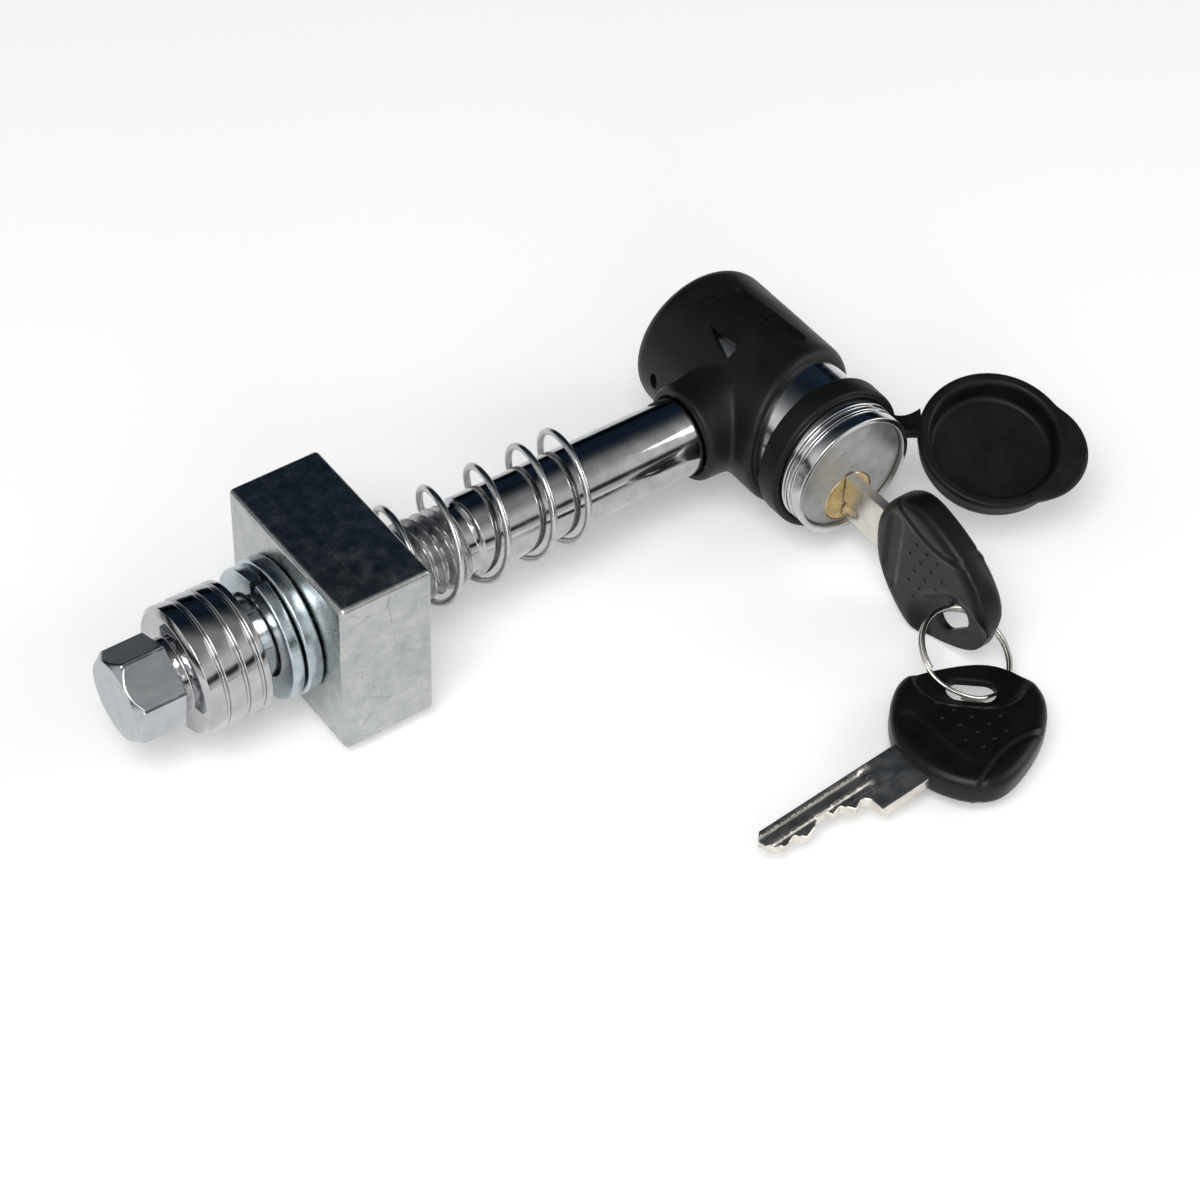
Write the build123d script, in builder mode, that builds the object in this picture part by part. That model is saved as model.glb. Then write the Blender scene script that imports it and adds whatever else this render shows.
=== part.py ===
from build123d import *
from math import atan2, cos, degrees, pi, radians, sin, sqrt
import os

# Threaded anti-rattle hitch pin with a keyed push-on lock head. Millimetres.
# X runs along the pin from the hex drive (-X) to the lock head (+X), Z is up. The origin is on
# the pin's axis, in the smooth stretch of shank between the spring and the lock head.

# ---------------------------------------------------------------- driving dimensions
PIN_R = 7.9375  # 5/8 in shank
THREAD_PITCH = 25.4 / 11  # 5/8-11 UNC
THREAD_R = 7.85
THREAD_ROOT_R = 6.65
RUN = 0.06  # radial running clearance

BLOCK_X0 = -78.0
BLOCK_L = 19.05  # 3/4 in thick
BLOCK_W = 38.1  # 1-1/2 in wide
BLOCK_H = 35.6
BLOCK_X1 = BLOCK_X0 + BLOCK_L

HEX_AF = 15.875  # 5/8 in across flats
HEX_TURN = 37.2
HEX_X0 = -113.4
HEX_X1 = -103.2
HEAD_X0 = -101.5
HEAD_X1 = -88.45
HEAD_R = 12.65
HEAD_GROOVES = (-97.5, -93.45, -90.2)
NECK_R = 7.75
THREAD_X0 = -84.6
THREAD_X1 = -42.4
RELIEF_R = 6.9
SHANK_X0 = -40.1

LOCK_WASHER_X = (-84.9, -81.8)
FLAT_WASHER_X = (-81.5, -78.3)
WASHER_R = 13.4
WASHER_BORE_R = 8.2

SPRING_X0 = BLOCK_X1
SPRING_X1 = -12.0
SPRING_R = 10.5
SPRING_WIRE_R = 0.7
SPRING_TURNS = 4.75

LOCK_X = 31.1  # barrel axis, parallel to Y
PIN_END_X = LOCK_X - 4.9
RELIEF_X = (LOCK_X - 21.1, LOCK_X - 19.8)  # shallow groove under the collar's lip
RELIEF_DEPTH = 0.25
END_PLAY = 0.5  # free travel of the pin's end in the barrel
LATCH_GROOVE = (LOCK_X - 10.7, LOCK_X - 6.3)
LATCH_GROOVE_R = 5.6

BARREL_R = 13.4
BARREL_BACK = 19.5
RIM_Y = -27.5
RIM_R = 13.25
CORE_R = 12.05
CORE_FACE_Y = -26.5
CORE_BORE_END = -9.2
TOWER_END = -13.3

COVER_R = 15.6
COVER_BACK = 23.4
COVER_IN_R = BARREL_R + 0.05
MOUTH_Y = -11.2
MOUTH_SLOPE_X = 0.26
MOUTH_SLOPE_Z = 0.12
COLLAR_R = 9.9
COLLAR_FLARE_R = 13.5
COLLAR_X = LOCK_X - 20.6

STRAP_RING_Y = (-21.8, -17.2)
STRAP_RING_R = 15.3
CAP_C = (60.0, -35.0, 0.6)
CAP_NORMAL = (-0.14, -0.28, 0.95)
CAP_R = 15.1
CAP_DEPTH = 6.6

PLUG_Z = -6.0
PLUG_R = 5.5
PLUG_STEP_R = 4.95
PLUG_END = -9.6
TUMBLER_Y = (-24.6, -21.3, -18.0, -14.7)
TUMBLER_R = 1.2

KEY_THICK = 2.2
KEY_Z = PLUG_Z + 1.0  # centre line of the key's bow
KEY_ROOT_Y = -38.0
SPARE_C = (2.2, -81.6, -14.5)
SPARE_TURN = 4.5
BOW_THICK = 6.4
BLADE_TIP = -33.4
SHOULDER = -11.4
BLADE_LOW = -1.9
BLADE_HIGH = 5.2
SHOULDER_LOW = -4.9
HOLE_U = 21.5
HOLE_V = 6.0

RING_C = (27.44, -66.98, -12.36)
RING_R = 9.4
RING_NORMAL = (0.188, -0.412, 0.892)

os.makedirs("parts", exist_ok=True)


def save(part, name):
    part.label = name
    export_step(part, f"parts/{name}.step")


def axis_plane(x):
    """Plane across the pin's axis at x, facing +X."""
    return Plane(origin=(x, 0, 0), x_dir=(0, 1, 0), z_dir=(1, 0, 0))


def barrel_plane(y, x=LOCK_X, z=0.0):
    """Plane across the barrel's axis at y, facing +Y, with its own x along +Z."""
    return Plane(origin=(x, y, z), x_dir=(0, 0, 1), z_dir=(0, 1, 0))


def turned(points, about_barrel=False, x=LOCK_X, z=0.0):
    """Solid of revolution from (along, radius) points, about the pin or the barrel axis."""
    if about_barrel:
        frame = Plane(origin=(x, 0, z), x_dir=(0, 1, 0), z_dir=(1, 0, 0))
    else:
        frame = Plane(origin=(0, 0, 0), x_dir=(1, 0, 0), z_dir=(0, -1, 0))
    with BuildPart() as body:
        with BuildSketch(frame):
            with BuildLine():
                Polyline(*points, close=True)
            make_face()
        revolve(axis=Axis(frame.origin, frame.x_dir))
    return body.part


# ---------------------------------------------------------------- nut block and its spring
def make_nut_block():
    with BuildPart() as nut_block:
        with BuildSketch(axis_plane(BLOCK_X0)):
            Rectangle(BLOCK_W, BLOCK_H)
        extrude(amount=BLOCK_L)
        fillet(nut_block.edges(), radius=0.9)
        with Locations(axis_plane(BLOCK_X1)):
            CounterSinkHole(THREAD_R + RUN, THREAD_R + 0.9, counter_sink_angle=90)
        with Locations(axis_plane(BLOCK_X0).offset(0.0)):
            with Locations(Rotation(180, 0, 0)):
                CounterSinkHole(THREAD_R + RUN, THREAD_R + 0.9, counter_sink_angle=90)
    save(nut_block.part, "nut_block")


def make_block_spring():
    """Left-hand coil standing on the block's far face."""
    length = SPRING_X1 - SPRING_X0 - 2 * SPRING_WIRE_R - 0.3
    start = (SPRING_X0 + SPRING_WIRE_R + 0.2, 0.7, 0.7)
    pitch = length / SPRING_TURNS
    with BuildPart() as block_spring:
        with BuildLine() as coil:
            Helix(pitch, length, SPRING_R, center=start, direction=(1, 0, 0), lefthand=True)
        with BuildSketch(Plane(origin=coil.line @ 0, z_dir=coil.line % 0)):
            Circle(SPRING_WIRE_R)
        sweep(path=coil.line, is_frenet=True)
    save(block_spring.part, "block_spring")


# ---------------------------------------------------------------- washers and hitch bolt
def make_washers():
    with BuildPart() as flat_washer:
        with BuildSketch(axis_plane(FLAT_WASHER_X[0])):
            Circle(WASHER_R)
            Circle(WASHER_BORE_R, mode=Mode.SUBTRACT)
        extrude(amount=FLAT_WASHER_X[1] - FLAT_WASHER_X[0])
        fillet(flat_washer.edges().filter_by(GeomType.CIRCLE), radius=0.5)
    save(flat_washer.part, "flat_washer")

    with BuildPart() as lock_washer:
        with BuildSketch(axis_plane(LOCK_WASHER_X[0])):
            Circle(WASHER_R - 0.4)
            Circle(WASHER_BORE_R, mode=Mode.SUBTRACT)
        extrude(amount=LOCK_WASHER_X[1] - LOCK_WASHER_X[0])
        chamfer(lock_washer.edges().filter_by(GeomType.CIRCLE), length=0.4)
        split_at = Plane(origin=(LOCK_WASHER_X[0] + 1.5, 0, 11.0), z_dir=(0.55, 1, 0))
        with BuildSketch(split_at):
            Rectangle(9.0, 9.0)
        extrude(amount=0.45, both=True, mode=Mode.SUBTRACT)
    save(lock_washer.part, "lock_washer")


def thread_profile():
    """Ring grooves at the thread's pitch, as (x, radius) points from x0 to x1."""
    points = []
    count = int((THREAD_X1 - THREAD_X0) / THREAD_PITCH)
    for i in range(count):
        x = THREAD_X0 + i * THREAD_PITCH
        points += [
            (x, THREAD_ROOT_R),
            (x + 0.20 * THREAD_PITCH, THREAD_ROOT_R),
            (x + 0.52 * THREAD_PITCH, THREAD_R),
            (x + 0.68 * THREAD_PITCH, THREAD_R),
        ]
    points.append((THREAD_X0 + count * THREAD_PITCH, THREAD_ROOT_R))
    return points


def make_hitch_bolt():
    outline = [(HEX_X1 + 0.2, 0), (HEX_X1 + 0.2, 7.6), (HEAD_X0, 7.6), (HEAD_X0, HEAD_R - 1.1)]
    outline.append((HEAD_X0 + 1.1, HEAD_R))
    for x in HEAD_GROOVES:
        outline += [(x - 0.5, HEAD_R), (x - 0.3, HEAD_R - 0.6)]
        outline += [(x + 0.3, HEAD_R - 0.6), (x + 0.5, HEAD_R)]
    outline += [(HEAD_X1 - 0.4, HEAD_R), (HEAD_X1, HEAD_R - 0.4), (HEAD_X1, NECK_R)]
    outline += [(THREAD_X0, NECK_R)]
    outline += thread_profile()
    outline += [(THREAD_X1 + 0.1, RELIEF_R), (SHANK_X0 - 0.6, RELIEF_R)]
    outline += [(SHANK_X0, PIN_R - 0.5), (SHANK_X0 + 0.5, PIN_R)]
    outline += [(RELIEF_X[0], PIN_R), (RELIEF_X[0] + 0.1, PIN_R - RELIEF_DEPTH)]
    outline += [(RELIEF_X[1] - 0.1, PIN_R - RELIEF_DEPTH), (RELIEF_X[1], PIN_R)]
    outline += [(LATCH_GROOVE[0], PIN_R), (LATCH_GROOVE[0] + 0.4, LATCH_GROOVE_R)]
    outline += [(LATCH_GROOVE[1] - 0.4, LATCH_GROOVE_R), (LATCH_GROOVE[1], PIN_R)]
    outline += [(PIN_END_X - 1.2, PIN_R), (PIN_END_X, PIN_R - 1.4), (PIN_END_X, 0)]
    with BuildPart() as hitch_bolt:
        add(turned(outline))
        with BuildSketch(axis_plane(HEX_X0)):
            RegularPolygon(HEX_AF / 2, 6, major_radius=False, rotation=HEX_TURN)
        extrude(amount=HEX_X1 - HEX_X0 + 0.3)
        cone = turned([(HEX_X0, 0), (HEX_X0, 7.9), (HEX_X0 + 1.9, 10.2), (HEAD_X0, 10.2), (HEAD_X0, 0)])
        rest = turned([(HEAD_X0 - 0.01, 0), (HEAD_X0 - 0.01, 20), (PIN_END_X + 1, 20), (PIN_END_X + 1, 0)])
        add(cone + rest, mode=Mode.INTERSECT)
    save(hitch_bolt.part, "hitch_bolt")


# ---------------------------------------------------------------- lock head
def make_lock_barrel():
    outline = [(BARREL_BACK, 0), (BARREL_BACK, BARREL_R - 1.0), (BARREL_BACK - 1.0, BARREL_R)]
    outline += [(-22.7, BARREL_R), (-22.9, BARREL_R - 0.7), (-23.4, BARREL_R - 0.7)]
    outline += [(-23.6, RIM_R), (-24.3, RIM_R), (-24.5, RIM_R - 0.6), (-25.0, RIM_R - 0.6)]
    outline += [(-25.2, RIM_R), (RIM_Y + 0.4, RIM_R), (RIM_Y, RIM_R - 0.4), (RIM_Y, 0)]
    with BuildPart() as lock_barrel:
        add(turned(outline, about_barrel=True))
        # blind bore for the core
        with BuildSketch(barrel_plane(RIM_Y)):
            Circle(CORE_R + 0.05)
        extrude(amount=CORE_BORE_END - RIM_Y, mode=Mode.SUBTRACT)
        # well that takes the tip of the key's blade
        with BuildSketch(barrel_plane(CORE_BORE_END - 0.5, z=PLUG_Z)):
            Circle(4.5)
        extrude(amount=5.5, mode=Mode.SUBTRACT)
        # blind hole for the pin's end
        with BuildSketch(axis_plane(LOCK_X - 20)):
            Circle(PIN_R + RUN)
        extrude(amount=PIN_END_X + END_PLAY - (LOCK_X - 20), mode=Mode.SUBTRACT)
        # guide hole for the latch bolt
        with BuildSketch(barrel_plane(CORE_BORE_END - 1, x=LATCH_X, z=LATCH_Z)):
            Circle(LATCH_R + RUN)
        extrude(amount=6, mode=Mode.SUBTRACT)
        # cross hole for the pin that retains the core
        with BuildSketch(axis_plane(LOCK_X + 9)):
            with Locations((-19.5, 4.0)):
                Circle(1.25)
        extrude(amount=6, mode=Mode.SUBTRACT)
    save(lock_barrel.part, "lock_barrel")


LATCH_X = LOCK_X - 8.5
LATCH_Z = 2.2
LATCH_R = 1.7
LATCH_FLANGE_R = 2.9
LATCH_TRAVEL = 2.0
CAM_Y = (-13.0, -11.5)


def make_latch_parts():
    """Latch bolt, held back at rest, and the spring round its tail."""
    pin_surface = -sqrt(PIN_R**2 - LATCH_Z**2)
    tip = pin_surface - 0.35
    flange = (CAM_Y[0] + 0.1, CAM_Y[0] + 1.1)
    outline = [(flange[0], 0), (flange[0], LATCH_FLANGE_R), (flange[1], LATCH_FLANGE_R)]
    outline += [(flange[1], LATCH_R), (tip - 0.5, LATCH_R), (tip, LATCH_R - 0.5), (tip, 0)]
    with BuildPart() as latch_bolt:
        add(turned(outline, about_barrel=True, x=LATCH_X, z=LATCH_Z))
    save(latch_bolt.part, "latch_bolt")

    length = CORE_BORE_END - flange[1] - 0.7
    start = (LATCH_X, flange[1] + 0.35, LATCH_Z)
    with BuildPart() as latch_spring:
        with BuildLine() as coil:
            Helix(length / 3, length, LATCH_R + 0.55, center=start, direction=(0, 1, 0))
        with BuildSketch(Plane(origin=coil.line @ 0, z_dir=coil.line % 0)):
            Circle(0.22)
        sweep(path=coil.line, is_frenet=True)
    save(latch_spring.part, "latch_spring")


def make_core_housing():
    """Die-cast core: round at the face, cut back behind to clear the cam and the latch."""
    bore = PLUG_R + RUN
    with BuildPart() as core_housing:
        with BuildSketch(barrel_plane(CORE_FACE_Y)):
            Circle(CORE_R)
        extrude(amount=TOWER_END - CORE_FACE_Y)
        chamfer(core_housing.faces().sort_by(Axis.Y)[0].edges(), length=0.3)
        with BuildSketch(barrel_plane(CORE_FACE_Y, z=PLUG_Z)):
            Circle(bore)
        extrude(amount=TOWER_END - CORE_FACE_Y, mode=Mode.SUBTRACT)
        # slot for the chamber cover, then the tumbler chambers
        with BuildSketch(Plane.XY.offset(CHAMBER_TOP)):
            with Locations((LOCK_X, (TUMBLER_Y[0] + TUMBLER_Y[-1]) / 2)):
                Rectangle(4.0, 12.4)
        extrude(amount=6, mode=Mode.SUBTRACT)
        with BuildSketch(Plane.XY.offset(PLUG_Z)):
            with Locations(*[(LOCK_X, y) for y in TUMBLER_Y]):
                Circle(TUMBLER_R + RUN)
        extrude(amount=CHAMBER_TOP - PLUG_Z + 0.1, mode=Mode.SUBTRACT)
        # cross hole for the retaining pin
        with BuildSketch(axis_plane(LOCK_X + 7.2)):
            with Locations((-19.5, 4.0)):
                Circle(1.25)
        extrude(amount=14, mode=Mode.SUBTRACT)
    save(core_housing.part, "core_housing")

    with BuildPart() as chamber_cover:
        with BuildSketch(Plane.XY.offset(CHAMBER_TOP + 0.02)):
            with Locations((LOCK_X, (TUMBLER_Y[0] + TUMBLER_Y[-1]) / 2)):
                Rectangle(3.9, 12.3)
        extrude(amount=1.0)
    save(chamber_cover.part, "chamber_cover")

    with BuildPart() as core_retaining_pin:
        with BuildSketch(axis_plane(LOCK_X + 7.4)):
            with Locations((-19.5, 4.0)):
                Circle(1.2)
        extrude(amount=4.6)
    save(core_retaining_pin.part, "core_retaining_pin")


CHAMBER_TOP = 8.4


def make_plug():
    """Brass plug with its keyway, the chambers for the key pins and a rear step for the cam."""
    outline = [(CORE_FACE_Y, 0), (CORE_FACE_Y, PLUG_R - 0.2), (CORE_FACE_Y + 0.2, PLUG_R)]
    outline += [(TOWER_END + 0.1, PLUG_R), (TOWER_END + 0.1, PLUG_STEP_R), (PLUG_END, PLUG_STEP_R)]
    outline += [(PLUG_END, 0)]
    low, high = KEY_Z - BLADE_HIGH, KEY_Z - BLADE_LOW
    with BuildPart() as plug:
        add(turned(outline, about_barrel=True, z=PLUG_Z))
        # keyway right through, as tall as the blade
        with BuildSketch(barrel_plane(CORE_FACE_Y - 1, z=(low + high) / 2)):
            Rectangle(high - low + 0.24, KEY_THICK + 0.24)
        extrude(amount=PLUG_END - CORE_FACE_Y + 2, mode=Mode.SUBTRACT)
        # warding rib that guides the blade's side grooves
        with BuildSketch(barrel_plane(CORE_FACE_Y, x=LOCK_X - KEY_THICK / 2, z=KEY_Z - 2.4)):
            Rectangle(0.8, 0.6)
        extrude(amount=PLUG_END - CORE_FACE_Y)
        with BuildSketch(Plane.XY.offset(PLUG_Z)):
            with Locations(*[(LOCK_X, y) for y in TUMBLER_Y]):
                Circle(TUMBLER_R + RUN)
        extrude(amount=PLUG_R + 1, mode=Mode.SUBTRACT)
        # groove for the clip
        with BuildSketch(barrel_plane(-11.1, z=PLUG_Z)):
            Circle(PLUG_STEP_R + 1)
            Circle(PLUG_STEP_R - 0.35, mode=Mode.SUBTRACT)
        extrude(amount=0.8, mode=Mode.SUBTRACT)
    save(plug.part, "plug")

    with BuildPart() as plug_clip:
        with BuildSketch(barrel_plane(-11.05, z=PLUG_Z)):
            Circle(PLUG_R + 0.1)
            Circle(PLUG_STEP_R - 0.3, mode=Mode.SUBTRACT)
            with Locations((-PLUG_STEP_R, 0)):
                Rectangle(3.0, 5.0, mode=Mode.SUBTRACT)
        extrude(amount=0.7)
    save(plug_clip.part, "plug_clip")

    # cam ring with a lug that swings behind the latch's flange
    with BuildPart() as cam:
        with BuildSketch(barrel_plane(CAM_Y[0], z=PLUG_Z)):
            Circle(PLUG_R + 0.1)
            with Locations(Rotation(0, 0, CAM_REST)):
                with Locations((6.3, 0)):
                    RectangleRounded(6.2, 2.4, 1.0)
            Circle(PLUG_STEP_R + 0.04, mode=Mode.SUBTRACT)
        extrude(amount=CAM_Y[1] - CAM_Y[0])
    save(cam.part, "cam")


CAM_REST = 44.0  # lug's angle from straight up, on the side away from the latch


def make_tumblers():
    """Pins and springs above the keyway, at the height of an uncut blade."""
    blade_top = KEY_Z - BLADE_LOW
    shear = PLUG_Z + PLUG_R
    for number, y in enumerate(TUMBLER_Y, start=1):
        with BuildPart() as key_pin:
            with BuildSketch(Plane.XY.offset(blade_top + 0.15)):
                with Locations((LOCK_X, y)):
                    Circle(TUMBLER_R)
            extrude(amount=shear - 0.15 - blade_top - 0.15)
            chamfer(key_pin.edges().group_by(Axis.Z)[0], length=0.5)
        save(key_pin.part, f"key_pin_{number}")

        with BuildPart() as driver_pin:
            with BuildSketch(Plane.XY.offset(shear + 0.15)):
                with Locations((LOCK_X, y)):
                    Circle(TUMBLER_R)
            extrude(amount=3.6)
        save(driver_pin.part, f"driver_pin_{number}")

        frame = Plane(origin=(LOCK_X, y, shear + 3.9), z_dir=(0, 0, 1))
        length = CHAMBER_TOP - 0.35 - (shear + 3.9)
        with BuildPart() as tumbler_spring:
            with BuildLine(frame) as coil:
                Helix(length / 5, length, 0.85)
            with BuildSketch(Plane(origin=coil.line @ 0, z_dir=coil.line % 0)):
                Circle(0.16)
            sweep(path=coil.line, is_frenet=True)
        save(tumbler_spring.part, f"tumbler_spring_{number}")


def side_cut(angle, depth_from, depth_to):
    """Sketch plane square to the cover's side at an angle round the barrel from +X to +Z."""
    a = radians(angle)
    out = Vector(cos(a), 0, sin(a))
    origin = Vector(LOCK_X, 0, 0) + out * depth_from
    return Plane(origin=origin, x_dir=(0, -1, 0), z_dir=out)


def make_lock_cover():
    """Moulded shell over the barrel, with a collar round the pin and small windows."""
    outer = [(COVER_BACK, 0), (COVER_BACK, COVER_R), (-22, COVER_R), (-22, 0)]
    inner = [(BARREL_BACK + 0.1, 0), (BARREL_BACK + 0.1, COVER_IN_R), (-30, COVER_IN_R), (-30, 0)]
    collar = [(COLLAR_X, 0), (COLLAR_X, COLLAR_R), (COLLAR_X + 3.2, COLLAR_R)]
    collar += [(COLLAR_X + 13, COLLAR_FLARE_R), (LOCK_X, COLLAR_FLARE_R), (LOCK_X, 0)]
    slope = Vector(-MOUTH_SLOPE_X, 1, -MOUTH_SLOPE_Z)
    with BuildPart() as lock_cover:
        add(turned(outer, about_barrel=True))
        fillet(lock_cover.edges().filter_by(GeomType.CIRCLE).sort_by(Axis.Y)[-1], radius=3.6)
        split(bisect_by=Plane(origin=(LOCK_X, MOUTH_Y, 0), z_dir=slope), keep=Keep.TOP)
        mouth = lock_cover.faces().filter_by(GeomType.PLANE).sort_by(Axis.Y)[0]
        fillet(mouth.outer_wire().edges(), radius=1.6)
        add(turned(collar))
        lip = lock_cover.faces().filter_by(GeomType.PLANE).sort_by(Axis.X)[0]
        fillet(lip.edges(), radius=0.8)
        add(turned(inner, about_barrel=True), mode=Mode.SUBTRACT)
        with BuildSketch(axis_plane(COLLAR_X - 1)):
            Circle(PIN_R + 0.35)
        extrude(amount=LOCK_X - COLLAR_X, mode=Mode.SUBTRACT)
        with BuildSketch(axis_plane(COLLAR_X + SEAL_INSET - 0.05)):
            Circle(SEAL_R + 0.05)
        extrude(amount=SEAL_W + 0.1, mode=Mode.SUBTRACT)
        for side in (1, -1):
            with BuildSketch(side_cut(side * 121, BARREL_R - 1, 0)):
                with BuildLine():
                    Polyline((-9.2, -1.5 * side), (-2.2, -1.1 * side), (-2.6, 1.5 * side), close=True)
                make_face()
            extrude(amount=5, mode=Mode.SUBTRACT)
            with BuildSketch(side_cut(side * 104, COVER_R - 0.75, 0)):
                with Locations((-13.0, 0)):
                    Circle(1.9)
            extrude(amount=5, mode=Mode.SUBTRACT)
            with BuildSketch(side_cut(side * 76, COVER_R - 0.95, 0)):
                with Locations((-5.0, 0)):
                    SlotOverall(18.5, 4.2, rotation=8 * side)
            extrude(amount=5, mode=Mode.SUBTRACT)
            with BuildSketch(side_cut(side * 76, BARREL_R - 1, 0)):
                with Locations((-6.0, 0)):
                    SlotOverall(3.2, 1.6)
            extrude(amount=5, mode=Mode.SUBTRACT)
        with BuildSketch(side_cut(179, BARREL_R - 1, 0)):
            with Locations((-14.2, 0)):
                Ellipse(1.0, 1.9)
        extrude(amount=5, mode=Mode.SUBTRACT)
    save(lock_cover.part, "lock_cover")


SEAL_INSET = 0.9
SEAL_W = 2.0
SEAL_R = 8.95


def make_pin_seal():
    with BuildPart() as pin_seal:
        with BuildSketch(axis_plane(COLLAR_X + SEAL_INSET)):
            Circle(SEAL_R)
            Circle(PIN_R + RUN, mode=Mode.SUBTRACT)
        extrude(amount=SEAL_W)
        fillet(pin_seal.edges().filter_by(GeomType.CIRCLE), radius=0.3)
    save(pin_seal.part, "pin_seal")


# ---------------------------------------------------------------- dust cap on its strap
CAP_PLANE = Plane(origin=CAP_C, x_dir=(0.68, -0.73, -0.115), z_dir=CAP_NORMAL)
STRAP_DIR = Vector(0.68, -0.73, 0).normalized()
STRAP_HINGE_AT = Vector(*CAP_C) - STRAP_DIR * (CAP_R + 0.9)


def make_cap_strap():
    """Rubber ring round the barrel with a short flat tongue towards the cap."""
    ring_y = (STRAP_RING_Y[0] + STRAP_RING_Y[1]) / 2
    root = Vector(LOCK_X + BARREL_R + 0.9, ring_y, 0)
    run = STRAP_HINGE_AT - root
    tongue = Plane(origin=(root.X, root.Y, 0), x_dir=(run.X, run.Y, 0), z_dir=(0, 0, 1))
    reach = sqrt(run.X**2 + run.Y**2)
    with BuildPart() as cap_strap:
        with BuildSketch(barrel_plane(STRAP_RING_Y[0])):
            Circle(STRAP_RING_R)
        extrude(amount=STRAP_RING_Y[1] - STRAP_RING_Y[0])
        fillet(cap_strap.edges().filter_by(GeomType.CIRCLE), radius=1.2)
        with BuildSketch(tongue.offset(-1.1)):
            with Locations((reach / 2 - 0.2, 0)):
                Rectangle(reach - 0.4, 5.4)
        extrude(amount=2.2)
        with BuildSketch(barrel_plane(STRAP_RING_Y[0] - 3)):
            Circle(BARREL_R + RUN)
        extrude(amount=12, mode=Mode.SUBTRACT)
    save(cap_strap.part, "cap_strap")


def make_dust_cap():
    """Shallow rubber cup, open upwards, with a rim bead and a pull tab."""
    with BuildPart() as dust_cap:
        with BuildSketch(CAP_PLANE.offset(-CAP_DEPTH)):
            Circle(CAP_R - 1.2)
        extrude(amount=CAP_DEPTH)
        with BuildSketch(CAP_PLANE.offset(-2.0)):
            Circle(CAP_R)
            with Locations((7.4, 0)):
                Circle(11.2)
            with Locations((-CAP_R + 0.3, 0)):
                Rectangle(1.4, 5.4)
        extrude(amount=2.0)
        with BuildSketch(CAP_PLANE.offset(-CAP_DEPTH + 1.4)):
            Circle(CAP_R - 2.6)
        extrude(amount=CAP_DEPTH, mode=Mode.SUBTRACT)
    save(dust_cap.part, "dust_cap")


# ---------------------------------------------------------------- keys and split ring
KEY_PLANE = Plane(origin=(LOCK_X, KEY_ROOT_Y, KEY_Z), x_dir=(0, -1, 0), z_dir=(1, 0, 0))
SPARE_PLANE = Plane(
    origin=SPARE_C,
    x_dir=(cos(radians(SPARE_TURN)), sin(radians(SPARE_TURN)), 0),
    z_dir=(0, 0, 1),
)
BOW_OUTLINE = (
    (0.0, 0.0),
    (0.6, -5.9),
    (3.8, -11.6),
    (8.8, -14.6),
    (16.0, -13.6),
    (24.4, -10.0),
    (30.0, -4.4),
    (31.2, 2.2),
    (28.6, 8.4),
    (22.0, 12.8),
    (13.4, 15.4),
    (6.6, 12.2),
    (1.6, 6.2),
)
BLADE_CUTS = (
    (-11.4, -1.8),
    (-12.2, -0.9),
    (-13.0, -0.8),
    (-15.0, -1.8),
    (-16.6, 0.7),
    (-18.9, 0.1),
    (-19.4, 1.3),
    (-21.6, 1.2),
    (-23.6, -0.2),
    (-26.3, -1.1),
    (-27.6, 0.8),
    (-30.5, -0.2),
    (-31.1, 0.6),
    (-32.2, 0.9),
    (-33.2, 2.3),
)


def make_blade(frame, name):
    """Flat nickel-plated blade: tip, notched edge, shoulder and a tang inside the bow."""
    points = [(3.5, -4.4), (-1.0, SHOULDER_LOW), (SHOULDER, SHOULDER_LOW)]
    points += BLADE_CUTS
    points += [(BLADE_TIP, BLADE_HIGH - 1.4), (BLADE_TIP + 1.4, BLADE_HIGH), (3.5, BLADE_HIGH)]
    with BuildPart() as blade:
        with BuildSketch(frame.offset(-KEY_THICK / 2)):
            with BuildLine():
                Polyline(*points, close=True)
            make_face()
        extrude(amount=KEY_THICK)
        # milled grooves along both sides
        for level, v in ((-KEY_THICK / 2, 2.4), (KEY_THICK / 2 - 0.5, 2.4)):
            with BuildSketch(frame.offset(level)):
                with Locations(((BLADE_TIP + SHOULDER) / 2 + 1.5, v)):
                    Rectangle(SHOULDER - BLADE_TIP + 6, 1.2)
            extrude(amount=0.5, mode=Mode.SUBTRACT)
    save(blade.part, name)


def make_bow(frame, name):
    """Moulded bow over the blade's tang, thinned round its hole."""
    half = BOW_THICK / 2
    with BuildPart() as bow:
        with BuildSketch(frame.offset(-half)):
            with BuildLine():
                Spline(*BOW_OUTLINE, periodic=True)
            make_face()
        extrude(amount=BOW_THICK)
        rims = bow.faces().filter_by(GeomType.PLANE)
        chamfer(rims.edges(), length=1.0)
        # ring hole: an oval through the bow, with a wide dished recess on each face
        with BuildSketch(frame.offset(-half)):
            with Locations((HOLE_U, HOLE_V)):
                SlotOverall(10.4, 6.2, rotation=-45)
        extrude(amount=BOW_THICK, mode=Mode.SUBTRACT)
        for level in (-half, half - 2.3):
            with BuildSketch(frame.offset(level)):
                with Locations((HOLE_U + 2.0, HOLE_V + 2.6)):
                    SlotOverall(18.0, 14.0, rotation=-45)
            extrude(amount=2.3, mode=Mode.SUBTRACT)
        # shallow finger slot across each face
        for level in (-half, half - 0.7):
            with BuildSketch(frame.offset(level)):
                with Locations((7.2, 0.6)):
                    SlotOverall(17.0, 4.0, rotation=90)
            extrude(amount=0.7, mode=Mode.SUBTRACT)
        with BuildSketch(frame.offset(-KEY_THICK / 2 - 0.02)):
            with Locations((1.7, 0.3)):
                Rectangle(3.7, 10.3)
        extrude(amount=KEY_THICK + 0.04, mode=Mode.SUBTRACT)
    save(bow.part, name)


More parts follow.
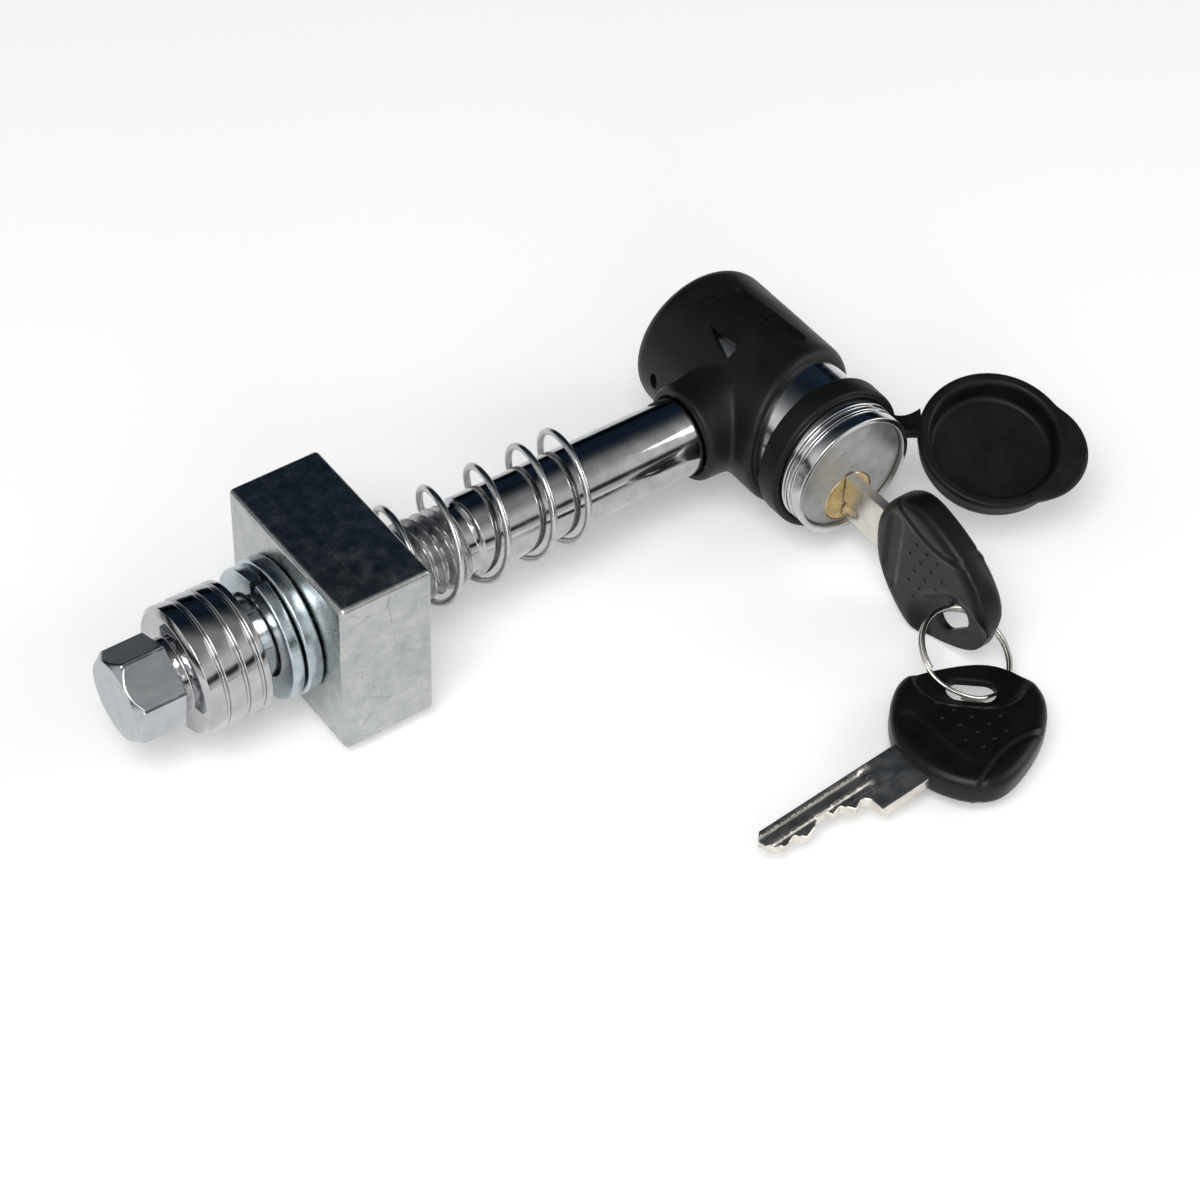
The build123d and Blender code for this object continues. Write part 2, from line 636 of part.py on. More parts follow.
def make_split_ring():
    frame = Plane(origin=RING_C, x_dir=(0.82, 0.57, -0.05), z_dir=RING_NORMAL)
    with BuildPart() as split_ring:
        with BuildSketch(Plane(origin=frame.origin, x_dir=frame.x_dir, z_dir=frame.y_dir)):
            with Locations((RING_R, 0)):
                RectangleRounded(0.9, 1.64, 0.4)
        revolve(axis=Axis(frame.origin, frame.z_dir))
    save(split_ring.part, "split_ring")


make_nut_block()
make_block_spring()
make_washers()
make_hitch_bolt()
make_lock_barrel()
make_latch_parts()
make_core_housing()
make_plug()
make_tumblers()
make_lock_cover()
make_pin_seal()
make_cap_strap()
make_dust_cap()
make_blade(KEY_PLANE, "key_blade")
make_bow(KEY_PLANE, "key_bow")
make_blade(SPARE_PLANE, "spare_key_blade")
make_bow(SPARE_PLANE, "spare_key_bow")
make_split_ring()
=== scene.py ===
import math

import bmesh
import bpy
from mathutils import Matrix, Vector
from mathutils.geometry import delaunay_2d_cdt


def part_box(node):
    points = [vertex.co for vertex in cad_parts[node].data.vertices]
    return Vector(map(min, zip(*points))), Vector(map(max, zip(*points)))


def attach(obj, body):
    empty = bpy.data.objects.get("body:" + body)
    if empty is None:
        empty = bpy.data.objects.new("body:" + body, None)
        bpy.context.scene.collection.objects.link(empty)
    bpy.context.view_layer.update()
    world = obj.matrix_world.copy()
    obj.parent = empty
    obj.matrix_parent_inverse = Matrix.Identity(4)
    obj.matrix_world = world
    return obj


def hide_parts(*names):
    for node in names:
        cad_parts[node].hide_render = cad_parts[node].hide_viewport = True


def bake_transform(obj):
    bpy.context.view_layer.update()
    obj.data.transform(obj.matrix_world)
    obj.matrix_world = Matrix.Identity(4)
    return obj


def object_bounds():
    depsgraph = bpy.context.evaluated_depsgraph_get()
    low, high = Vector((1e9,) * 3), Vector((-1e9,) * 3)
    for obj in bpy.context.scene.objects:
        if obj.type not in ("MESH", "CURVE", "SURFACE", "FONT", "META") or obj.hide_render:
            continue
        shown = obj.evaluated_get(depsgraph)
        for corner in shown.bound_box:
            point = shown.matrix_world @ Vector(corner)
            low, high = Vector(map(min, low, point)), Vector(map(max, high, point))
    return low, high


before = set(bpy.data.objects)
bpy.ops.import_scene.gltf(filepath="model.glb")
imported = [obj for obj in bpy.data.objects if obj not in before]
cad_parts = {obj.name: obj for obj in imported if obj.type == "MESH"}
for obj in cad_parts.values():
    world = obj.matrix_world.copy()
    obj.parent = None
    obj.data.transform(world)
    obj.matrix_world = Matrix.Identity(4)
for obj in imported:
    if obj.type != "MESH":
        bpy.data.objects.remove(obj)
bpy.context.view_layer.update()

# Threaded hitch pin with a keyed lock head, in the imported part's frame: X along the pin towards
# the lock, Z up, origin on the pin's axis. Lengths below are millimetres; meshes are in metres.
MM = 0.001


# ---------------------------------------------------------------- sizes
def span(node, axis):
    """A CAD node's lowest and highest coordinate along one axis, in millimetres."""
    low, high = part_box(node)
    return low[axis] / MM, high[axis] / MM


PIN_R = 7.9375
PITCH = 25.4 / 11
LOCK_X = 31.1
BARREL_R = 13.4
PLUG_Z = -6.0
HEX_AF = 15.875
HEX_TURN = math.radians(37.2)
BLOCK_X = span("nut_block", 0)
BLOCK_Y = span("nut_block", 1)
BLOCK_Z = span("nut_block", 2)
BOLT_X = span("hitch_bolt", 0)
SPRING_X = span("block_spring", 0)
KEY_ROOT_Y = -38.0
KEY_Z = PLUG_Z + 1.0
SPARE_C = (2.2, -81.6, -14.5)
SPARE_TURN = math.radians(4.5)
CAP_C = Vector((60.0, -35.0, 0.6))
CAP_NORMAL = Vector((-0.14, -0.28, 0.95)).normalized()
CAP_TOWARDS = Vector((0.68, -0.73, -0.115))
CAP_SIDE = (CAP_TOWARDS - CAP_NORMAL * CAP_TOWARDS.dot(CAP_NORMAL)).normalized()
LATCH = (LOCK_X - 8.5, 2.2)  # x and z of the latch's axis
RING_C = Vector((27.44, -66.98, -12.36))
RING_NORMAL = Vector((0.188, -0.412, 0.892)).normalized()
RING_R = 9.4
RING_STEP = math.radians(172.0)
HOLE_UV = (21.5, 6.0)
HOLE_TURN = math.radians(-45)


# ---------------------------------------------------------------- node helpers
def colour_ramp(tree, source, stops):
    """A ramp over (position, RGBA) stops, fed by source."""
    node = tree.nodes.new("ShaderNodeValToRGB")
    elements = node.color_ramp.elements
    while len(elements) < len(stops):
        elements.new(0.5)
    for element, (at, colour) in zip(elements, stops):
        element.position = at
        element.color = colour
    tree.links.new(source, node.inputs["Fac"])
    return node.outputs["Color"]


class Shade:
    """A material's node tree, with short calls for what the finishes below use."""

    def __init__(self, name):
        self.mat = bpy.data.materials.new(name)
        self.mat.use_nodes = True
        self.tree = self.mat.node_tree
        self.bsdf = self.tree.nodes["Principled BSDF"]
        self.place = self.add("ShaderNodeTexCoord").outputs["Object"]

    def add(self, kind, **props):
        node = self.tree.nodes.new(kind)
        for key, value in props.items():
            setattr(node, key, value)
        return node

    def link(self, a, b):
        self.tree.links.new(a, b)

    def stretched(self, scale):
        node = self.add("ShaderNodeMapping")
        node.inputs["Scale"].default_value = scale
        self.link(self.place, node.inputs["Vector"])
        return node.outputs["Vector"]

    def noise(self, scale, detail=4.0, rough=0.55, stretch=None, distort=0.0):
        node = self.add("ShaderNodeTexNoise")
        node.inputs["Scale"].default_value = scale
        node.inputs["Detail"].default_value = detail
        node.inputs["Roughness"].default_value = rough
        node.inputs["Distortion"].default_value = distort
        self.link(self.stretched(stretch) if stretch else self.place, node.inputs["Vector"])
        return node.outputs["Fac"]

    def cells(self, scale, stretch=None, feature="F1"):
        node = self.add("ShaderNodeTexVoronoi", feature=feature)
        node.inputs["Scale"].default_value = scale
        self.link(self.stretched(stretch) if stretch else self.place, node.inputs["Vector"])
        return node.outputs["Distance"]

    def ramp(self, source, stops):
        return colour_ramp(self.tree, source, [(at, (*colour, 1.0)) for at, colour in stops])

    def level(self, source, low, high, out_low, out_high):
        node = self.add("ShaderNodeMapRange")
        node.inputs["From Min"].default_value = low
        node.inputs["From Max"].default_value = high
        node.inputs["To Min"].default_value = out_low
        node.inputs["To Max"].default_value = out_high
        self.link(source, node.inputs["Value"])
        return node.outputs["Result"]

    def mix(self, fac, a, b, blend="MIX"):
        node = self.add("ShaderNodeMix", data_type="RGBA", blend_type=blend)
        for socket, value in ((node.inputs[0], fac), (node.inputs[6], a), (node.inputs[7], b)):
            if hasattr(value, "is_linked"):
                self.link(value, socket)
            elif isinstance(value, tuple):
                socket.default_value = (*value, 1.0)
            else:
                socket.default_value = value
        return node.outputs[2]

    def total(self, a, b, kind="ADD"):
        node = self.add("ShaderNodeMath", operation=kind)
        for socket, value in zip(node.inputs, (a, b)):
            if hasattr(value, "is_linked"):
                self.link(value, socket)
            else:
                socket.default_value = value
        return node.outputs["Value"]

    def bump(self, height, strength, distance):
        node = self.add("ShaderNodeBump")
        node.inputs["Strength"].default_value = strength
        node.inputs["Distance"].default_value = distance
        self.link(height, node.inputs["Height"])
        self.link(node.outputs["Normal"], self.bsdf.inputs["Normal"])

    def put(self, **values):
        """Sets or links inputs of the shader; spaces in a name are written as underscores."""
        for name, value in values.items():
            socket = self.bsdf.inputs[name.replace("_", " ")]
            if hasattr(value, "is_linked"):
                self.link(value, socket)
            else:
                socket.default_value = (*value, 1.0) if isinstance(value, tuple) else value
        return self


# ---------------------------------------------------------------- finishes
def mirror_chrome():
    s = Shade("bolt_chrome")
    cloud = s.noise(260, 3)
    fine = s.noise(2600, 2, stretch=(0.12, 1, 1))
    tone = s.ramp(cloud, [(0.3, (0.37, 0.37, 0.38)), (0.7, (0.50, 0.50, 0.51))])
    rough = s.total(s.level(cloud, 0.3, 0.75, 0.05, 0.12), s.level(fine, 0.55, 0.8, 0.0, 0.12))
    s.put(Base_Color=tone, Metallic=1.0, Roughness=rough)
    s.bump(fine, 0.06, 0.00005)
    return s.mat


def dark_thread():
    s = Shade("thread_steel")
    cloud = s.noise(420, 4)
    tone = s.ramp(cloud, [(0.3, (0.33, 0.33, 0.34)), (0.7, (0.55, 0.55, 0.56))])
    s.put(Base_Color=tone, Metallic=1.0, Roughness=s.level(cloud, 0.3, 0.7, 0.22, 0.38))
    s.bump(s.noise(3200, 3), 0.12, 0.00005)
    return s.mat


def hex_satin():
    s = Shade("hex_satin")
    cloud = s.noise(300, 4)
    grain = s.noise(4200, 2)
    tone = s.ramp(cloud, [(0.25, (0.36, 0.38, 0.39)), (0.75, (0.46, 0.48, 0.49))])
    s.put(Base_Color=tone, Metallic=1.0, Roughness=s.level(grain, 0.3, 0.7, 0.16, 0.26))
    s.bump(grain, 0.12, 0.00004)
    return s.mat


def zinc(name, light, dark, rough, speck=True, mottle=1.0):
    """Zinc plate: cloudy tone, fine grain, hairline scratches and sparse dark pits."""
    s = Shade(name)
    cloud = s.noise(330, 6, 0.68)
    broad = s.noise(90, 3)
    grain = s.noise(2600, 3)
    scuff = s.noise(420, 6, 0.75, stretch=(1.0, 0.18, 1.4), distort=0.8)
    fine_share = s.total(cloud, 0.7 * mottle, "MULTIPLY")
    broad_share = s.total(broad, 1 - 0.7 * mottle, "MULTIPLY")
    tone = s.ramp(s.total(fine_share, broad_share), [(0.34, dark), (0.62, light)])
    tone = s.mix(s.level(scuff, 0.60, 0.72, 0.0, 0.30), tone, tuple(0.55 * c for c in dark))
    edges = s.cells(105, stretch=(1.0, 0.55, 1.3), feature="DISTANCE_TO_EDGE")
    hair = s.level(edges, 0.004, 0.014, 1.0, 0.0)
    patches = s.level(s.noise(130, 4, 0.6, distort=1.5), 0.52, 0.60, 0.0, 1.0)
    hair = s.total(hair, patches, "MULTIPLY")
    if speck:
        pits = s.level(s.cells(520), 0.05, 0.12, 0.55, 0.0)
        here = s.level(broad, 0.50, 0.58, 0.0, 1.0)
        tone = s.mix(s.total(pits, here, "MULTIPLY"), tone, (0.08, 0.08, 0.08))
        tone = s.mix(s.total(hair, 0.45, "MULTIPLY"), tone, (0.12, 0.12, 0.11))
    wear = s.level(scuff, 0.55, 0.75, 0.0, 0.12)
    s.put(Base_Color=tone, Metallic=1.0)
    s.put(Roughness=s.total(s.level(cloud, 0.3, 0.7, rough - 0.08, rough + 0.08), wear))
    relief = s.total(grain, s.total(scuff, 0.8, "MULTIPLY"))
    s.bump(s.total(relief, s.total(hair, -0.6, "MULTIPLY")), 0.22, 0.00008)
    return s.mat


def satin_barrel():
    s = Shade("barrel_plate")
    cloud = s.noise(220, 4)
    turned_lines = s.noise(900, 3, stretch=(0.08, 3.0, 0.08))
    tone = s.ramp(cloud, [(0.3, (0.48, 0.48, 0.49)), (0.7, (0.62, 0.62, 0.63))])
    s.put(Base_Color=tone, Metallic=1.0, Roughness=s.level(turned_lines, 0.3, 0.7, 0.08, 0.20))
    s.bump(turned_lines, 0.08, 0.00005)
    return s.mat


def moulded_black(name, tone, rough, texture):
    """Black moulding with a fine spark-eroded texture."""
    s = Shade(name)
    grain = s.noise(texture, 3, 0.6)
    cloud = s.noise(120, 4)
    low = tuple(0.75 * c for c in tone)
    high = tuple(1.35 * c for c in tone)
    s.put(Base_Color=s.ramp(cloud, [(0.3, low), (0.7, high)]))
    sheen = s.level(cloud, 0.3, 0.7, rough - 0.07, rough + 0.07)
    grit = s.level(grain, 0.3, 0.7, -0.04, 0.04)
    s.put(Roughness=s.total(sheen, grit), Specular_IOR_Level=0.22)
    s.bump(grain, 0.35, 0.00008)
    return s.mat


def black_rubber():
    s = Shade("cap_rubber")
    grain = s.noise(1900, 4, 0.6)
    dust = s.noise(170, 6, 0.7)
    tone = s.ramp(dust, [(0.35, (0.0030, 0.0030, 0.0033)), (0.8, (0.0085, 0.0085, 0.009))])
    s.put(Base_Color=tone, Roughness=s.level(dust, 0.3, 0.8, 0.38, 0.58), Specular_IOR_Level=0.2)
    s.bump(grain, 0.3, 0.0001)
    return s.mat


def brass(name, tone, rough):
    s = Shade(name)
    cloud = s.noise(500, 5, 0.65)
    low = tuple(0.45 * c for c in tone)
    s.put(Base_Color=s.ramp(cloud, [(0.28, low), (0.62, tone)]), Metallic=1.0)
    s.put(Roughness=s.level(cloud, 0.3, 0.7, rough + 0.12, rough))
    s.bump(s.noise(2600, 3), 0.15, 0.00005)
    return s.mat


def nickel(name, tone, rough):
    s = Shade(name)
    cloud = s.noise(330, 4)
    lines = s.noise(1500, 3, stretch=(0.15, 1.0, 1.0))
    low = tuple(0.72 * c for c in tone)
    s.put(Base_Color=s.ramp(cloud, [(0.3, low), (0.7, tone)]), Metallic=1.0)
    sheen = s.level(cloud, 0.3, 0.7, rough, rough + 0.08)
    s.put(Roughness=s.total(sheen, s.level(lines, 0.5, 0.8, 0.0, 0.1)))
    s.bump(lines, 0.1, 0.00005)
    return s.mat


CHROME = mirror_chrome()
THREAD = dark_thread()
HEX = hex_satin()
BLOCK_ZINC = zinc("zinc_block", (0.48, 0.49, 0.475), (0.33, 0.35, 0.355), 0.25)
WASHER_ZINC = zinc("zinc_washers", (0.50, 0.56, 0.59), (0.33, 0.39, 0.42), 0.22, speck=False)
WIRE = zinc("spring_wire", (0.55, 0.56, 0.55), (0.38, 0.39, 0.39), 0.20, speck=False)
BARREL = satin_barrel()
COVER = moulded_black("cover_plastic", (0.0060, 0.0060, 0.0064), 0.42, 2600)
BOW = moulded_black("bow_plastic", (0.0045, 0.0045, 0.0048), 0.34, 3400)
SEAL = moulded_black("seal_rubber", (0.005, 0.005, 0.005), 0.55, 1800)
RUBBER = black_rubber()
CORE = zinc("core_zinc", (0.50, 0.50, 0.49), (0.26, 0.26, 0.26), 0.33, mottle=0.5)
PLUG_BRASS = brass("plug_brass", (0.74, 0.56, 0.27), 0.24)
PIN_BRASS = brass("lock_pins", (0.76, 0.60, 0.34), 0.25)
SMALL_STEEL = nickel("small_steel", (0.60, 0.60, 0.60), 0.25)
KEY_PLATE = nickel("key_plate", (0.78, 0.74, 0.67), 0.27)
RING_STEEL = nickel("ring_steel", (0.76, 0.74, 0.68), 0.14)


# ---------------------------------------------------------------- mesh helpers
def finish_mesh(obj, body, sharp=32):
    """Smooth shading with hard edges kept, then the piece rides on its body."""
    mesh = obj.data
    work = bmesh.new()
    work.from_mesh(mesh)
    bmesh.ops.recalc_face_normals(work, faces=work.faces)
    limit = math.radians(sharp)
    for face in work.faces:
        face.smooth = True
    for edge in work.edges:
        edge.smooth = len(edge.link_faces) == 2 and edge.calc_face_angle(3.0) < limit
    work.to_mesh(mesh)
    work.free()
    if body:
        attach(obj, body)
    return obj


def piece(name, points, faces, *materials):
    """A new object from points in millimetres."""
    mesh = bpy.data.meshes.new(name)
    mesh.from_pydata([Vector(p) * MM for p in points], [], faces)
    mesh.validate()
    obj = bpy.data.objects.new(name, mesh)
    bpy.context.collection.objects.link(obj)
    for material in materials:
        mesh.materials.append(material)
    return obj


def skin(name, rows, *materials, closed=False):
    """A tube through rows of points, every row a ring of the same count, with its ends capped."""
    count = len(rows[0])
    points = [p for row in rows for p in row]
    faces = []
    last = len(rows) if closed else len(rows) - 1
    for i in range(last):
        a = i * count
        b = ((i + 1) % len(rows)) * count
        faces += [(a + j, a + (j + 1) % count, b + (j + 1) % count, b + j) for j in range(count)]
    if not closed:
        faces.append(tuple(range(count - 1, -1, -1)))
        end = (len(rows) - 1) * count
        faces.append(tuple(end + j for j in range(count)))
    return piece(name, points, faces, *materials)


def rounded(path, radius, steps=4, closed=False):
    """The path with each corner replaced by an arc, smaller where its neighbours are near."""
    out = []
    count = len(path)
    for i, here in enumerate(path):
        if not closed and i in (0, count - 1):
            out.append(here)
            continue
        here = Vector(here)
        before = Vector(path[i - 1]) - here
        after = Vector(path[(i + 1) % count]) - here
        if before.length < 1e-6 or after.length < 1e-6:
            continue
        angle = before.angle(after)
        if angle > math.radians(172):
            out.append(tuple(here))
            continue
        cut = min(radius / math.tan(angle / 2), 0.42 * before.length, 0.42 * after.length)
        real = cut * math.tan(angle / 2)
        start = here + before.normalized() * cut
        end = here + after.normalized() * cut
        centre = here + (before.normalized() + after.normalized()).normalized() * (
            real / math.sin(angle / 2)
        )
        for k in range(steps + 1):
            t = k / steps
            chord = start.lerp(end, t) - centre
            out.append(tuple(centre + chord.normalized() * real))
    return out


def lathe(name, profile, origin, axis, material, segments=160, radius=0.25, closed=True):
    """Solid of revolution from (along, radius) points, given as a closed loop round its section."""
    axis = Vector(axis).normalized()
    side = Vector((0, 0, 1)) if abs(axis.z) < 0.9 else Vector((1, 0, 0))
    side = (side - axis * side.dot(axis)).normalized()
    other = axis.cross(side)
    origin = Vector(origin)
    path = rounded(profile, radius, closed=closed)
    rows = []
    for k in range(segments):
        t = 2 * math.pi * k / segments
        out = side * math.cos(t) + other * math.sin(t)
        rows.append([origin + axis * a + out * r for a, r in path])
    if closed:
        return skin(name, rows, material, closed=True)
    points = [p for row in rows for p in row]
    count = len(path)
    faces = []
    for k in range(segments):
        a, b = k * count, ((k + 1) % segments) * count
        faces += [(a + j, a + j + 1, b + j + 1, b + j) for j in range(count - 1)]
    faces.append(tuple(k * count for k in range(segments - 1, -1, -1)))
    faces.append(tuple(k * count + count - 1 for k in range(segments)))
    return piece(name, points, faces, material)


def tube(name, path, section, material, normal=None, closed=False):
    """Sweeps a section, a list of (across, up) offsets, along a path of points."""
    path = [Vector(p) for p in path]
    count = len(path)
    rows = []
    up = Vector(normal) if normal is not None else None
    for i, here in enumerate(path):
        ahead = path[(i + 1) % count] if closed or i + 1 < count else here
        back = path[i - 1] if closed or i else here
        along = (ahead - back).normalized()
        if up is None:
            up = along.orthogonal().normalized()
        lift = (up - along * up.dot(along)).normalized()
        if normal is None:
            up = lift
        across = along.cross(lift)
        rows.append([here + across * a + lift * b for a, b in section])
    return skin(name, rows, material, closed=closed)


def round_section(radius, count=14):
    turn = [2 * math.pi * k / count for k in range(count)]
    return [(radius * math.cos(t), radius * math.sin(t)) for t in turn]


def oblong(half_wide, half_high):
    """Corners of a rectangle round the origin, for rounded() and tube()."""
    return [(-half_wide, -half_high), (half_wide, -half_high),
            (half_wide, half_high), (-half_wide, half_high)]


def outward(mesh):
    """Turns a closed mesh's faces to point outwards."""
    work = bmesh.new()
    work.from_mesh(mesh)
    bmesh.ops.recalc_face_normals(work, faces=work.faces)
    work.to_mesh(mesh)
    work.free()


def baked(obj):
    """The object's modifiers become its mesh."""
    graph = bpy.context.evaluated_depsgraph_get()
    mesh = bpy.data.meshes.new_from_object(obj.evaluated_get(graph))
    obj.modifiers.clear()
    obj.data = mesh


def cut(obj, tool):
    """Takes the tool's volume out of obj, then removes the tool."""
    change = obj.modifiers.new("cut", "BOOLEAN")
    change.operation = "DIFFERENCE"
    change.solver = "EXACT"
    change.object = tool
    baked(obj)
    bpy.data.objects.remove(tool)


def drum(origin, axis, start, end, radius, segments=96):
    """A plain cylinder along an axis, as a tool for cut()."""
    section = [(start, radius), (end, radius)]
    return lathe("tool", section, origin, axis, None, segments, 0.0, closed=False)


def smooth_step(x, low, high):
    t = min(1.0, max(0.0, (x - low) / (high - low)))
    return t * t * (3 - 2 * t)


def ease_through(marks, n):
    """Smooth curve through (n, value) marks, after Catmull and Rom."""
    for i in range(len(marks) - 1):
        (n0, x0), (n1, x1) = marks[i], marks[i + 1]
        if n <= n1 or i == len(marks) - 2:
            before = marks[i - 1] if i else (2 * n0 - n1, 2 * x0 - x1)
            after = marks[i + 2] if i + 2 < len(marks) else (2 * n1 - n0, 2 * x1 - x0)
            span_n = n1 - n0
            t = min(1.0, (n - n0) / span_n)
            m0 = (x1 - before[1]) / (n1 - before[0]) * span_n
            m1 = (after[1] - x0) / (after[0] - n0) * span_n
            return ((2 * t**3 - 3 * t**2 + 1) * x0 + (t**3 - 2 * t**2 + t) * m0
                    + (3 * t**2 - 2 * t**3) * x1 + (t**3 - t**2) * m1)
    return marks[-1][1]


# ---------------------------------------------------------------- hitch bolt
HEAD_R = 12.6
HEAD = (-101.5, -88.45)
HEAD_GROOVES = (-97.5, -93.45, -90.2)
HEX_END = -103.2
THREAD_SPAN = (-84.6, -42.4)
THREAD_R, THREAD_DEPTH, RUNOUT_DEPTH = 7.84, 1.35, 0.25
COLLAR_GROOVE_DEPTH = 0.25
SHANK_X = -40.1
AROUND = 192


def hex_radius(angle):
    """Hexagon with slightly rounded corners."""
    step = math.pi / 3
    off = (angle - HEX_TURN + step / 2) % step - step / 2
    flat = HEX_AF / 2 / math.cos(step / 2 - abs(off))
    corner = HEX_AF / 2 * 1.135 - 0.4 * (abs(off) < 0.02)
    return min(flat, corner)


def thread_radius(x, angle):
    """Right-hand 60 degree thread that runs out at both ends."""
    phase = (x / PITCH - angle / (2 * math.pi)) % 1.0
    rise = min(1.0, max(0.0, (abs(phase - 0.5) * 2 - 0.12) / 0.70))
    ease = smooth_step(x, THREAD_SPAN[0], THREAD_SPAN[0] + 1.6)
    ease *= 1 - smooth_step(x, THREAD_SPAN[1] - 1.2, THREAD_SPAN[1])
    return THREAD_R - THREAD_DEPTH * rise * ease - RUNOUT_DEPTH * (1 - ease)


def bolt_profile():
    """(x, radius, material index) along the bolt, apart from the hexagon and the thread."""
    head = [(HEAD[0] - 1.4, 7.2), (HEAD[0], 7.2), (HEAD[0], HEAD_R - 1.0), (HEAD[0] + 0.9, HEAD_R)]
    for x in HEAD_GROOVES:
        head += [(x - 0.42, HEAD_R), (x - 0.30, HEAD_R - 0.55)]
        head += [(x + 0.30, HEAD_R - 0.55), (x + 0.42, HEAD_R)]
    head += [(HEAD[1], HEAD_R), (HEAD[1], 7.75), (THREAD_SPAN[0], 7.75)]
    tail = [(THREAD_SPAN[1], 7.0), (SHANK_X - 0.6, 6.9), (SHANK_X, 7.3), (SHANK_X + 0.6, PIN_R)]
    groove = PIN_R - COLLAR_GROOVE_DEPTH
    tail += [(10.0, PIN_R), (10.1, groove), (11.2, groove), (11.3, PIN_R)]
    tail += [(20.4, PIN_R), (20.8, 5.62), (24.4, 5.62), (24.8, PIN_R)]
    tail += [(BOLT_X[1] - 1.2, PIN_R), (BOLT_X[1], PIN_R - 1.4), (BOLT_X[1], 1.0)]
    return rounded(head, 0.3, 3), rounded(tail, 0.25, 3)


def ring_at(x, radius_of):
    out = []
    for k in range(AROUND):
        t = 2 * math.pi * k / AROUND
        r = radius_of(t)
        out.append((x, r * math.cos(t), r * math.sin(t)))
    return out


def make_bolt():
    head, tail = bolt_profile()
    rows, kinds = [], []
    # hexagon, cut by the turned chamfer at its outer end
    start, stop = BOLT_X[0], HEX_END
    stations = [start, start + 0.02] + [start + 0.22 * k for k in range(1, 12)]
    stations += [-108.0, stop - 0.35, stop - 0.1, stop]
    for i, x in enumerate(stations):
        limit = 7.75 + 0.72 * (x - start) if i else 5.5
        shrink = 0.25 * (x >= stop - 0.1) + 0.5 * (x >= stop)
        rows.append(ring_at(x, lambda t: min(hex_radius(t) - shrink, limit)))
        kinds.append(1)
    for x, r in head:
        rows.append(ring_at(x, lambda t: r))
        kinds.append(0)
    steps = int((THREAD_SPAN[1] - THREAD_SPAN[0]) / (PITCH / 14))
    for k in range(1, steps):
        x = THREAD_SPAN[0] + (THREAD_SPAN[1] - THREAD_SPAN[0]) * k / steps
        rows.append(ring_at(x, lambda t: thread_radius(x, t)))
        kinds.append(2)
    for x, r in tail:
        rows.append(ring_at(x, lambda t: r))
        kinds.append(0)
    bolt = skin("bolt", rows, CHROME, HEX, THREAD)
    for index, face in enumerate(bolt.data.polygons):
        row = min(index // AROUND, len(kinds) - 1)
        face.material_index = kinds[row]
    bolt.data.polygons[len(bolt.data.polygons) - 2].material_index = 1
    finish_mesh(bolt, "bolt", 38)
    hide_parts("hitch_bolt")


# ---------------------------------------------------------------- washers, block and its spring
def make_washers():
    low, high = span("flat_washer", 0)
    ring = [(low, 8.25), (low, 13.3), (high, 13.3), (high, 8.25)]
    flat = lathe("flat_washer_body", ring, (0, 0, 0), (1, 0, 0), WASHER_ZINC, 128, 0.55)
    finish_mesh(flat, "washers")
    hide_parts("flat_washer")
    # split washer: a square section wound one turn, its two ends offset by a little
    low, high = span("lock_washer", 0)
    gap, count = 0.05, 120
    middle, radius = (low + high) / 2, 10.6
    path = []
    for k in range(count + 1):
        t = math.pi / 2 + gap + (2 * math.pi - 2 * gap) * k / count
        path.append((middle + 0.35 * (0.5 - k / count), radius * math.cos(t), radius * math.sin(t)))
    section = [(b, a) for a, b in rounded(oblong(1.25, 2.3), 0.4, 3, closed=True)]
    split = tube("lock_washer_body", path, section, WASHER_ZINC, normal=(1, 0, 0))
    finish_mesh(split, "washers")
    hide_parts("lock_washer")


def make_block():
    centre = [(a + b) / 2 for a, b in (BLOCK_X, BLOCK_Y, BLOCK_Z)]
    size = [b - a for a, b in (BLOCK_X, BLOCK_Y, BLOCK_Z)]
    corners = [[c + s * d / 2 for c, s, d in zip(centre, (sx, sy, sz), size)]
               for sx in (-1, 1) for sy in (-1, 1) for sz in (-1, 1)]
    faces = [(0, 1, 3, 2), (4, 6, 7, 5), (0, 4, 5, 1), (2, 3, 7, 6), (0, 2, 6, 4), (1, 5, 7, 3)]
    block = piece("nut_block_body", corners, faces, BLOCK_ZINC)
    work = bmesh.new()
    work.from_mesh(block.data)
    bmesh.ops.recalc_face_normals(work, faces=work.faces)
    bmesh.ops.bevel(work, geom=work.edges[:], offset=1.1 * MM, segments=5, affect="EDGES",
                    profile=0.5)
    work.to_mesh(block.data)
    work.free()
    mouth, throat = 9.6, 7.93
    bore = [(BLOCK_X[0] - 1, mouth), (BLOCK_X[0] + 0.85, throat)]
    bore += [(BLOCK_X[1] - 0.85, throat), (BLOCK_X[1] + 1, mouth)]
    cut(block, lathe("tool", bore, (0, 0, 0), (1, 0, 0), BLOCK_ZINC, 96, 0.0, closed=False))
    finish_mesh(block, "block", 30)
    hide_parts("nut_block")


def make_spring():
    """Left-hand coil, wound unevenly, with its last turns drawn closer."""
    wire, coil, off_axis = 0.70, 10.45, 0.7
    low, high = SPRING_X[0] + wire + 0.15, SPRING_X[1] - wire - 0.1
    # (turns, x): the tops of the turns as photographed
    marks = ((0.0, low), (0.5, -54.0), (1.5, -44.5), (2.5, -33.9), (3.5, -23.9), (4.5, -16.4),
             (4.97, high))
    count = 380
    path = []
    for k in range(count + 1):
        n = marks[-1][0] * k / count
        x = ease_through(marks, n)
        t = math.radians(-90) - 2 * math.pi * n
        path.append((x, off_axis + coil * math.cos(t), off_axis + coil * math.sin(t)))
    spring = tube("block_spring_wire", path, round_section(wire), WIRE)
    finish_mesh(spring, "block")
    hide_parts("block_spring")


